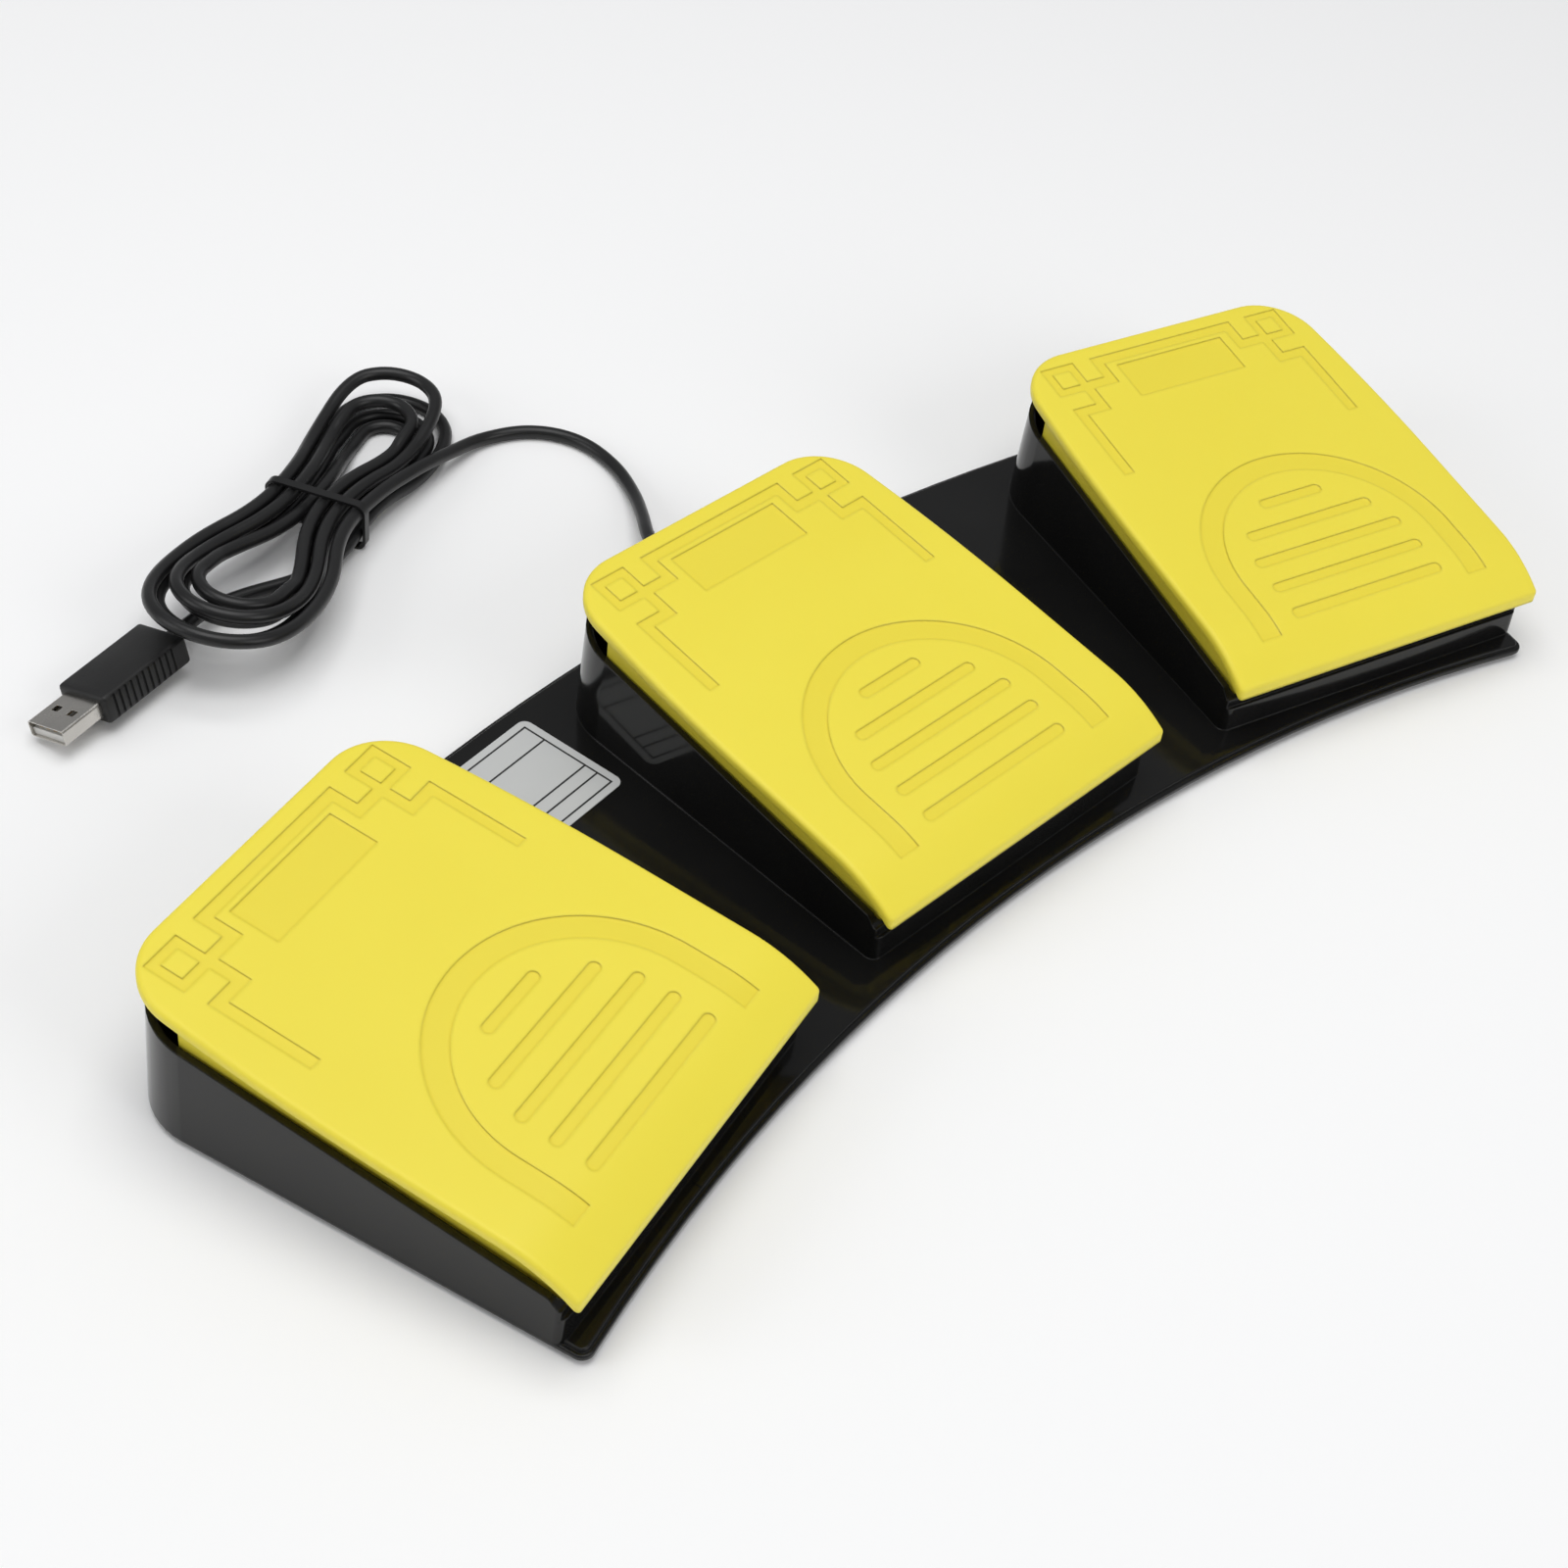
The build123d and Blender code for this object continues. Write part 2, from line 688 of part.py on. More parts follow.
with BuildPart() as upper_shell:
    with BuildSketch(Plane.XY.offset(deck_bottom)):
        add(deck_outline.sketch.moved(deck_place))
    extrude(amount=lip_level - deck_bottom)
    fillet(upper_shell.edges().group_by(Axis.Z)[-1], radius=deck_edge_round)
    with BuildSketch(Plane.XY.offset(lip_level)):
        add(deck_outline.sketch.moved(deck_place))
        offset(amount=-lip_step_in)
    extrude(amount=lip_step_height)
    fillet(upper_shell.edges().group_by(Axis.Z)[-1], radius=deck_edge_round)
    with Locations(*stations.values()):
        add(housing.part)
        add(floor_fittings.part)
    with Locations(stations["middle"]):
        add(column(board_screw_places, board_post_radius, lip_level, board_level))
    with Locations(*stations.values()):
        add(switch_bores, mode=Mode.SUBTRACT)
        add(pin_bore, mode=Mode.SUBTRACT)
        add(cover_bores, mode=Mode.SUBTRACT)
    with Locations(stations["middle"]):
        add(column(board_screw_places, board_screw_radius + board_screw_clearance,
                   board_top - board_screw_length, board_level), mode=Mode.SUBTRACT)
    for side in riser_spots:
        add(loom_band(side, deck_bottom, groove_height, groove_width, loom_clearance), mode=Mode.SUBTRACT)
        slot_width = riser_width + 2 * loom_clearance
        with Locations(stations[side]):
            add(riser(slot_width, groove_width, deck_bottom, deck_top, 0, switch_place), mode=Mode.SUBTRACT)
        with Locations(stations["middle"]):
            add(riser(slot_width, groove_width, deck_bottom, deck_top, riser_spots[side], riser_places[side]),
                mode=Mode.SUBTRACT)
    with Locations(stations["middle"]):
        with BuildSketch(cable_plane, mode=Mode.PRIVATE) as cable_hole:
            Circle(relief_root_radius + relief_neck_clearance)
        add(extrude(cable_hole.sketch, amount=housing_wall + relief_flange, both=True, mode=Mode.PRIVATE),
            mode=Mode.SUBTRACT)

# Bottom cover
with BuildPart() as bottom_cover:
    with BuildSketch(Plane.XY.offset(foot_height)):
        add(deck_outline.sketch.moved(deck_place))
        offset(amount=-sheet_inset)
    extrude(amount=sheet_thickness)
    with Locations(*stations.values()):
        add(column(cover_places, cover_hole_radius, 0, deck_bottom), mode=Mode.SUBTRACT)

with BuildPart() as cover_screws:
    with Locations(*stations.values()):
        add(column(cover_places, cover_head_radius, foot_height - cover_head_height, foot_height))
        add(column(cover_places, cover_screw_radius, foot_height, foot_height + cover_screw_length))

with BuildPart() as rubber_feet:
    with Locations(*stations.values()):
        add(column(foot_spots, foot_radius, 0, foot_height))


# Pieces inside each housing
with BuildPart() as hinge_pin:
    add(cross_rod([(-hinge_place, hinge_height)], pin_radius, -pin_length / 2, pin_length / 2))

with BuildPart() as switch_case:
    with BuildSketch(side_plane(-switch_side)) as case_side:
        with Locations((-switch_place, switch_bottom + switch_height / 2)):
            Rectangle(switch_length, switch_height)
        fillet(case_side.vertices(), radius=switch_round)
    extrude(amount=switch_width)
    add(cross_rod(switch_hole_spots, switch_screw_radius + switch_screw_clearance, -switch_side, switch_side),
        mode=Mode.SUBTRACT)
    add(column([(0, -plunger_place)], plunger_radius + plunger_fit,
               switch_top - plunger_stem - plunger_travel_room, switch_top), mode=Mode.SUBTRACT)
    with BuildSketch(Plane.XY.offset(terminal_bottom)):
        with Locations(*[(0, -switch_place + step * terminal_step) for step in (-1, 0, 1)]):
            Rectangle(terminal_thickness, terminal_width)
    extrude(amount=terminal_length)

with BuildPart() as switch_plunger:
    with BuildSketch(Plane.XY.offset(switch_top - plunger_stem)):
        with Locations((0, -plunger_place)):
            Circle(plunger_radius)
    extrude(amount=plunger_stem + plunger_height)
    fillet(switch_plunger.edges().group_by(Axis.Z)[-1], radius=plunger_radius / 3)

with BuildPart() as switch_screws:
    add(cross_rod(switch_hole_spots, switch_screw_radius, -switch_side - switch_wall, switch_side))
    add(cross_rod(switch_hole_spots, switch_head_radius, switch_side, switch_side + switch_head_height))

with BuildPart() as stop_pads:
    add(column(stop_spots, stop_radius, deck_top + stop_post_height, stop_top))
    fillet(stop_pads.edges().group_by(Axis.Z)[-1], radius=stop_thickness / 5)

with BuildPart() as return_spring:
    spring_low = deck_top + spring_wire / 2
    spring_rise = spring_pad_height - spring_seat_gap - spring_wire - deck_top
    coil_radius = spring_outer_radius - spring_wire / 2
    with BuildLine() as coil:
        Helix(pitch=spring_rise / spring_turns, height=spring_rise, radius=coil_radius,
              center=(0, -spring_place, spring_low))
    with BuildSketch(Plane(origin=coil.line @ 0, z_dir=coil.line % 0)):
        Circle(spring_wire / 2)
    sweep(path=coil.line, is_frenet=True)

os.makedirs("parts", exist_ok=True)
station_pieces = {
    "pedal": pedal_cover,
    "hinge_pin": hinge_pin,
    "return_spring": return_spring,
    "switch_body": switch_case,
    "switch_plunger": switch_plunger,
    "switch_screws": switch_screws,
    "stop_pads": stop_pads,
}
for side, place in stations.items():
    for name, piece in station_pieces.items():
        with BuildPart() as placed:
            with Locations(place):
                add(piece.part)
        placed.part.label = f"{side}_{name}"
        export_step(placed.part, f"parts/{side}_{name}.step")


# Circuit board and wires
with BuildPart() as main_board:
    with BuildSketch(Plane.XY.offset(board_level)):
        with Locations((board_across, -board_place)):
            Rectangle(board_length, board_width)
        with Locations(*board_screw_places):
            Circle(board_screw_radius + board_screw_clearance, mode=Mode.SUBTRACT)
    extrude(amount=board_thickness)

with BuildPart() as board_parts:
    with BuildSketch(Plane.XY.offset(board_top)):
        with Locations((socket_across, -socket_place)):
            Rectangle(socket_width, socket_length)
    extrude(amount=socket_height)
    with BuildSketch(Plane.XY.offset(board_top)):
        with Locations((board_across, -board_place)):
            Rectangle(chip_size, chip_size)
    extrude(amount=chip_height)
    with BuildSketch(Plane.XY.offset(board_top)):
        with Locations((board_across + (board_length - chip_size) / 2 - board_hole_inset / 2, -board_place)):
            SlotOverall(crystal_width, crystal_length, rotation=90)
    extrude(amount=crystal_height)

with BuildPart() as board_screws:
    add(column(board_screw_places, board_screw_radius, board_top - board_screw_length, board_top))
    add(column(board_screw_places, board_head_radius, board_top, board_top + board_head_height))

with BuildPart() as middle_wire_loom:
    loom_place = switch_place - terminal_step
    with BuildSketch(Plane.XY.offset(deck_top)):
        with Locations(((middle_riser_across - terminal_width / 2) / 2, -loom_place)):
            Rectangle(middle_riser_across + terminal_width / 2, loom_width)
    extrude(amount=loom_height)
    add(riser(loom_height, loom_width, deck_top, board_level, middle_riser_across, loom_place))

middle_pieces = {
    "main_board": main_board,
    "board_parts": board_parts,
    "board_screws": board_screws,
    "middle_wire_loom": middle_wire_loom,
}
for name, piece in middle_pieces.items():
    with BuildPart() as placed:
        with Locations(stations["middle"]):
            add(piece.part)
    placed.part.label = name
    export_step(placed.part, f"parts/{name}.step")

for side in riser_spots:
    with BuildPart() as wire_loom:
        add(loom_band(side, deck_bottom, loom_height, loom_width, 0))
        with Locations(stations[side]):
            add(riser(riser_width, loom_width, deck_bottom, terminal_bottom, 0, switch_place))
        with Locations(stations["middle"]):
            add(riser(riser_width, loom_width, deck_bottom, board_level, riser_spots[side], riser_places[side]))
    wire_loom.part.label = f"{side}_wire_loom"
    export_step(wire_loom.part, f"parts/{side}_wire_loom.step")

# Label between the left and the middle pedal, as wide as the housings beside it allow
label_turn = row_turn / 2
label_front = label_radius - label_radial / 2
label_reach = (label_front - housing_half * sin(label_turn)) * tan(label_turn) - housing_half * cos(label_turn)
label_across = 2 * (label_reach - label_side_gap)
with BuildPart() as info_label:
    label_spot = from_arc_centre(0, label_radius, label_turn)
    label_plane = Plane(
        origin=(label_spot[0], arc_centre_y + label_spot[1], deck_top),
        x_dir=(cos(label_turn), sin(label_turn), 0),
        z_dir=(0, 0, 1),
    )
    with BuildSketch(label_plane):
        RectangleRounded(label_across, label_radial, label_corner)
    extrude(amount=label_thickness)

base_pieces = {
    "upper_shell": upper_shell,
    "bottom_cover": bottom_cover,
    "cover_screws": cover_screws,
    "rubber_feet": rubber_feet,
    "info_label": info_label,
}
for name, piece in base_pieces.items():
    piece.part.label = name
    export_step(piece.part, f"parts/{name}.step")

# Strain relief and the cord's end inside the housing, its faces clear of the drafted wall
flange_seat = housing_wall + relief_flange_radius * draft_tan
collar_seat = relief_collar_radius * draft_tan
with BuildPart() as cord_collar:
    with BuildSketch(Plane(origin=cable_plane.origin, x_dir=(1, 0, 0), z_dir=(0, 0, 1))):
        with BuildLine():
            Polyline(
                (0, -flange_seat - relief_flange),
                (relief_flange_radius, -flange_seat - relief_flange),
                (relief_flange_radius, -flange_seat),
                (relief_root_radius, -flange_seat),
                (relief_root_radius, collar_seat),
                (relief_collar_radius, collar_seat),
                (relief_collar_radius, relief_collar_length),
                (relief_root_radius, relief_collar_length),
                (relief_tip_radius, relief_length),
                (0, relief_length),
                close=True,
            )
        make_face()
    revolve(axis=Axis((relief_across, relief_wall_face, relief_level), (0, 1, 0)))

middle_place = stations["middle"]


def tube(path, diameter):
    """round cord along a path of straight runs and tangent arcs"""
    with BuildPart() as cord:
        with BuildSketch(Plane(origin=path @ 0, z_dir=path % 0)):
            Circle(diameter / 2)
        sweep(path=path)
    return cord.part


def run_radii(route):
    """largest arc that the runs beside each point of a route allow"""
    points = [Vector(*point) for point in route]
    radii = []
    for before, corner, after in zip(points, points[1:], points[2:]):
        half_turn = radians((corner - before).get_angle(after - corner)) / 2
        radii.append(bend_share * min((corner - before).length, (after - corner).length) / tan(half_turn))
    return radii


collar_inside = relief_wall_face - flange_seat - relief_flange
socket_face = -socket_place + socket_length / 2
core_step = (collar_inside - socket_face) / 3
core_route = (
    (relief_across, collar_inside, relief_level),
    (relief_across, collar_inside - core_step, relief_level),
    (socket_across, socket_face + core_step, relief_level),
    (socket_across, socket_face, relief_level),
)
with BuildPart() as inner_cord_end:
    with BuildLine() as core_path:
        FilletPolyline(*core_route, radius=run_radii(core_route))
    add(tube(core_path.line, core_diameter))

# Hank of folded cord
hank_frame = middle_place * Location((hank_across, hank_behind, 0), (0, 0, hank_turn))
hank_plane = Plane(hank_frame)


def hank_station(place, beside, level, heading, slope):
    """point and direction of the cord in the hank, where heading is in degrees from the hank's x"""
    across, along = cos(radians(heading)), sin(radians(heading))
    direction = Vector(across, along, slope).normalized()
    point = hank_plane.from_local_coords(Vector(place, beside, level))
    ahead = hank_plane.from_local_coords(Vector(place, beside, level) + direction)
    return point, ahead - point


def meeting_point(start, start_direction, end, end_direction):
    """where two tangent arcs meet that join two points with given directions"""
    chord = end - start
    closing = 2 * (1 - start_direction.dot(end_direction))
    along = 2 * chord.dot(start_direction + end_direction)
    if closing < straight_limit:
        reach = chord.dot(chord) / along
    else:
        reach = (sqrt(along**2 + 4 * closing * chord.dot(chord)) - along) / (2 * closing)
    return (start + start_direction * reach + end - end_direction * reach) / 2


bottom_level = cord_diameter / 2
last_run = 4 * hank_loops_in_layer - 2
turning_run = last_run // 2
plug_plane = Plane(
    origin=(middle_place * Location((plug_across, plug_behind, 0))).position
    + Vector(0, 0, (plug_body_width * sin(radians(plug_roll)) + plug_body_height * cos(radians(plug_roll))) / 2),
    x_dir=(cos(radians(plug_turn)), sin(radians(plug_turn)), 0),
    z_dir=(
        sin(radians(plug_roll)) * sin(radians(plug_turn)),
        -sin(radians(plug_roll)) * cos(radians(plug_turn)),
        cos(radians(plug_roll)),
    ),
)


def layer_level(run, share):
    """level of a run's centre line above the hank's lift, at a share of the way along it"""
    if run == turning_run:
        return bottom_level + share * hank_layer_pitch
    return bottom_level + (hank_layer_pitch if run > turning_run else 0)


def run_stations(run):
    """the left, waist and right stations of one run, in the order in which the cord passes them"""
    offset = hank_pitch / 2 * min(run, last_run - run)
    side, heading, way = (1, 180, -1) if run % 2 else (-1, 0, 1)
    bulb_lift = hank_far_lift if run % 2 else hank_near_lift
    left = hank_station(-hank_left_reach, side * (hank_left_half - offset), bulb_lift + layer_level(run, 1),
                        heading, -way * hank_bulb_slope)
    waist = hank_station(hank_waist_place, side * (hank_waist_half - offset),
                         hank_waist_lift + layer_level(run, 1 / 2), heading, -way * hank_waist_slope)
    right = hank_station(hank_right_reach, side * (hank_right_half - offset), layer_level(run, 0), heading, 0)
    return [right, waist, left] if run % 2 else [left, waist, right]


plug_way = -plug_plane.x_dir
hank_start = plug_plane.origin + plug_way * cord_diameter
waist_floor = bottom_level + tie_thickness + tie_gap
hank_stops = [
    (hank_start, plug_way),
    hank_station(hank_waist_place, -hank_waist_half, waist_floor, 0, 0),
    run_stations(0)[-1],
]
for run in range(1, last_run):
    hank_stops += run_stations(run)
hank_stops += run_stations(last_run)[:2]
hank_stops.append(
    hank_station(
        hank_waist_place + hank_exit_reach,
        -hank_waist_half - hank_exit_reach * tan(radians(hank_exit_turn / 2)),
        hank_waist_lift + layer_level(last_run, 1) - hank_exit_drop,
        -hank_exit_turn,
        -hank_exit_slope,
    )
)
hank_end, hank_way = hank_stops[-1]

with BuildLine() as hank_path:
    Line(plug_plane.origin, hank_start)
    for (start, start_way), (end, end_way) in zip(hank_stops, hank_stops[1:]):
        middle = meeting_point(start, start_way, end, end_way)
        first_arc = TangentArc(start, middle, tangent=start_way)
        TangentArc(middle, end, tangent=first_arc % 1)
    Line(hank_end, hank_end + hank_way * cord_diameter)


def least_self_gap(edges, diameter):
    """least space between stretches of one cord that are more than four diameters apart along it"""
    points, along, done = [], [], 0
    for edge in edges:
        steps = max(2, int(edge.length / (diameter / 4)))
        for step in range(steps):
            point = edge.position_at(step / steps)
            points.append((point.X, point.Y, point.Z))
            along.append(done + edge.length * step / steps)
        done += edge.length
    least = done
    for first, place in enumerate(points):
        for second in range(first + 1, len(points)):
            if along[second] - along[first] > 4 * diameter:
                gap = sqrt(sum((a - b) ** 2 for a, b in zip(place, points[second]))) - diameter
                least = min(least, gap)
    return least, done


hank_gap, hank_length = least_self_gap(hank_path.line.edges(), cord_diameter)
print("hank: least gap to itself", round(hank_gap, 3), "mm, length", round(hank_length), "mm")

with BuildPart() as cord_hank:
    add(tube(hank_path.line, cord_diameter))

# Tie round the hank's waist
tie_plane = Plane(
    origin=hank_plane.from_local_coords(Vector(hank_waist_place, 0, 0)),
    x_dir=hank_plane.y_dir,
    z_dir=hank_plane.x_dir,
)
far_half = hank_waist_half - hank_pitch / 2
low_layer = hank_waist_lift + bottom_level
high_layer = low_layer + hank_layer_pitch
corner_strands = (
    (-hank_waist_half, waist_floor),
    (-hank_waist_half, high_layer),
    (far_half, low_layer),
    (far_half, high_layer),
)


def belt(radius):
    """outline of a belt laid round the outer strands of the waist"""
    with BuildSketch(tie_plane) as outline:
        with BuildSketch(mode=Mode.PRIVATE) as strands:
            with Locations(*corner_strands):
                Circle(radius)
        make_hull(strands.sketch.edges())
    return outline.sketch


with BuildPart() as hank_tie:
    extrude(belt(bottom_level + tie_gap + tie_thickness), amount=tie_width / 2, both=True)
    extrude(belt(bottom_level + tie_gap), amount=tie_width, both=True, mode=Mode.SUBTRACT)

# Free stretch of the cord, from the collar over the table to the hank
tube_end = hank_end + hank_way * cord_diameter
cord_route = [
    (relief_across, rear_edge_y + relief_wall_face + relief_length, relief_level),
    (relief_across, rear_edge_y + cord_first_bend_behind, relief_level),
]
cord_route += [(across, rear_edge_y + behind, level) for across, behind, level in cord_bends]
cord_route += [tuple(tube_end + hank_way * cord_last_run), tuple(tube_end)]
cord_radii = run_radii(cord_route)
print("free cord radii", [round(radius, 1) for radius in cord_radii])
with BuildPart() as usb_cord:
    with BuildLine() as cord_path:
        FilletPolyline(*cord_route, radius=cord_radii)
    add(tube(cord_path.line, cord_diameter))

for name, cord, path in (("usb_cord", usb_cord, cord_path), ("cord_hank", cord_hank, hank_path)):
    length = sum(edge.length for edge in path.line.edges())
    print(name, "length", round(length), "volume", round(cord.part.volume),
          "section times length", round(length * pi * cord_diameter**2 / 4))

# USB plug
plug_end = Plane(origin=plug_plane.origin, x_dir=plug_plane.y_dir, z_dir=plug_plane.x_dir)
shell_face = plug_end.offset(plug_body_length)
inner_width = plug_shell_width - 2 * plug_shell_wall
inner_height = plug_shell_height - 2 * plug_shell_wall
inner_round = plug_shell_round - plug_shell_wall
tongue_low = -inner_height / 2
tongue_top = tongue_low + plug_tongue_height
tongue_length = plug_shell_length - plug_tongue_short

with BuildPart() as plug_overmould:
    with BuildSketch(plug_end):
        RectangleRounded(plug_body_width, plug_body_height, plug_body_round)
    extrude(amount=plug_body_length)
    with BuildSketch(plug_plane.offset(-plug_body_height)):
        for groove in range(plug_rib_count):
            with Locations(*[(plug_rib_start + groove * plug_rib_step, side * plug_body_width / 2)
                             for side in (-1, 1)]):
                Rectangle(plug_rib_groove, 2 * plug_rib_depth)
    extrude(amount=2 * plug_body_height, mode=Mode.SUBTRACT)

with BuildPart() as plug_shell:
    with BuildSketch(shell_face):
        RectangleRounded(plug_shell_width, plug_shell_height, plug_shell_round)
        RectangleRounded(inner_width, inner_height, inner_round, mode=Mode.SUBTRACT)
    extrude(amount=plug_shell_length)
    with BuildSketch(plug_plane.offset(-plug_body_height)):
        with Locations(*[(plug_body_length + plug_window_place, side * plug_window_spacing / 2)
                         for side in (-1, 1)]):
            Rectangle(plug_window, plug_window)
    extrude(amount=2 * plug_body_height, mode=Mode.SUBTRACT)

with BuildPart() as plug_tongue:
    with BuildSketch(shell_face):
        with Locations((0, (tongue_low + tongue_top) / 2)):
            RectangleRounded(inner_width - 2 * plug_tongue_fit, plug_tongue_height, inner_round)
    extrude(amount=tongue_length)

with BuildPart() as plug_contacts:
    with BuildSketch(plug_plane.offset(tongue_top)):
        with Locations(*[(plug_body_length + tongue_length - plug_contact_length / 2 - plug_tongue_short,
                          place * plug_contact_step) for place in (-3 / 2, -1 / 2, 1 / 2, 3 / 2)]):
            Rectangle(plug_contact_length, plug_contact_width)
    extrude(amount=plug_contact_thickness)

cord_pieces = {
    "usb_cord": usb_cord,
    "cord_hank": cord_hank,
    "hank_tie": hank_tie,
    "plug_overmould": plug_overmould,
    "plug_shell": plug_shell,
    "plug_tongue": plug_tongue,
    "plug_contacts": plug_contacts,
}
for name, piece in cord_pieces.items():
    piece.part.label = name
    export_step(piece.part, f"parts/{name}.step")

for name, piece in {"cord_collar": cord_collar, "inner_cord_end": inner_cord_end}.items():
    with BuildPart() as placed:
        with Locations(middle_place):
            add(piece.part)
    placed.part.label = name
    export_step(placed.part, f"parts/{name}.step")
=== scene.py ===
from math import cos, pi, radians, sin
import bmesh
import bpy
import numpy
from mathutils import Matrix, Vector


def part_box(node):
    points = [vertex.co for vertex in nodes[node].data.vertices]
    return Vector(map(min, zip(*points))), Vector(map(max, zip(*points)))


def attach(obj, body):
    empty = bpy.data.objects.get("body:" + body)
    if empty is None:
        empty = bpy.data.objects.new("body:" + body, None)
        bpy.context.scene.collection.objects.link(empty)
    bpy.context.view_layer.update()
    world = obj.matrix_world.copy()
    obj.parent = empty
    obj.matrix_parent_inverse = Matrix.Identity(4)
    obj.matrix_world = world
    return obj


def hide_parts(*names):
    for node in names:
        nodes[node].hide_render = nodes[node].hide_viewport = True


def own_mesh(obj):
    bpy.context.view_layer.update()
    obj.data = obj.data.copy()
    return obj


# Three pedal USB foot switch. Metres, x along the row, y towards the cord, z up.
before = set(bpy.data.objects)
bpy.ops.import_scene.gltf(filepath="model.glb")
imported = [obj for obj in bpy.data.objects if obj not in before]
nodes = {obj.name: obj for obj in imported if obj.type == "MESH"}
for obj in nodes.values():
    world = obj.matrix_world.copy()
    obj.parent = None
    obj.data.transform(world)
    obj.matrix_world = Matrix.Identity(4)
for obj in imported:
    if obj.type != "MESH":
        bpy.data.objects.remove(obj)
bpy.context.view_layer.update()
sides = ("left", "middle", "right")
mm = 0.001
rearEdgeY = 73.303                      # rear edge of the middle pedal, mm
rowRadius = 588.0                       # from the row's centre to the pedals' rear edges, mm
arcCentreY = rearEdgeY - rowRadius
rowTurn = {"left": 15.6, "middle": 0.0, "right": -15.6}   # degrees about the row's centre


def addObject(name, data):
    added = bpy.data.objects.new(name, data)
    bpy.context.scene.collection.objects.link(added)
    return added


def rowPlace(turn, across, radius, level):
    return (Matrix.Scale(mm, 4) @ Matrix.Translation((0, arcCentreY, 0))
            @ Matrix.Rotation(radians(turn), 4, "Z") @ Matrix.Translation((across, radius, level)))


def newNode(tree, kind, **sockets):
    node = tree.nodes.new(kind)
    for name, value in sockets.items():
        node.inputs[name].default_value = value
    return node


def noiseField(tree, coords, scale, detail, stretch=None):
    source = coords.outputs["Object"]
    if stretch:
        mapping = newNode(tree, "ShaderNodeMapping", Scale=stretch)
        tree.links.new(source, mapping.inputs["Vector"])
        source = mapping.outputs["Vector"]
    noise = newNode(tree, "ShaderNodeTexNoise", Scale=scale, Detail=detail)
    tree.links.new(source, noise.inputs["Vector"])
    return noise.outputs["Fac"]


def spread(tree, source, low, high, start, end):
    limits = {"From Min": start, "From Max": end, "To Min": low, "To Max": high}
    remap = newNode(tree, "ShaderNodeMapRange", **limits)
    tree.links.new(source, remap.inputs["Value"])
    return remap.outputs["Result"]


def mixColours(tree, share, first, second):
    mix = tree.nodes.new("ShaderNodeMix")
    mix.data_type = "RGBA"
    for socket, value in ((mix.inputs[0], share), (mix.inputs[6], first), (mix.inputs[7], second)):
        if hasattr(value, "is_output"):
            tree.links.new(value, socket)
        else:
            socket.default_value = (*value, 1.0)
    return mix.outputs[2]


def roundedNormal(tree, radius, samples):
    bevel = newNode(tree, "ShaderNodeBevel", Radius=radius)
    bevel.samples = samples
    return bevel.outputs["Normal"]


# mask of convex and concave edges from the rounded normal, for the painted highlight and wear on edges
def edgeMask(tree, values):
    geometry = tree.nodes.new("ShaderNodeNewGeometry")
    dot = tree.nodes.new("ShaderNodeVectorMath")
    dot.operation = "DOT_PRODUCT"
    tree.links.new(roundedNormal(tree, values["wearAndHighlightRadius"], values["bevelSamples"]), dot.inputs[0])
    tree.links.new(geometry.outputs["Normal"], dot.inputs[1])
    start, end = values["edgeRange"]
    return spread(tree, dot.outputs["Value"], 1.0, 0.0, 1 - end, 1 - start)


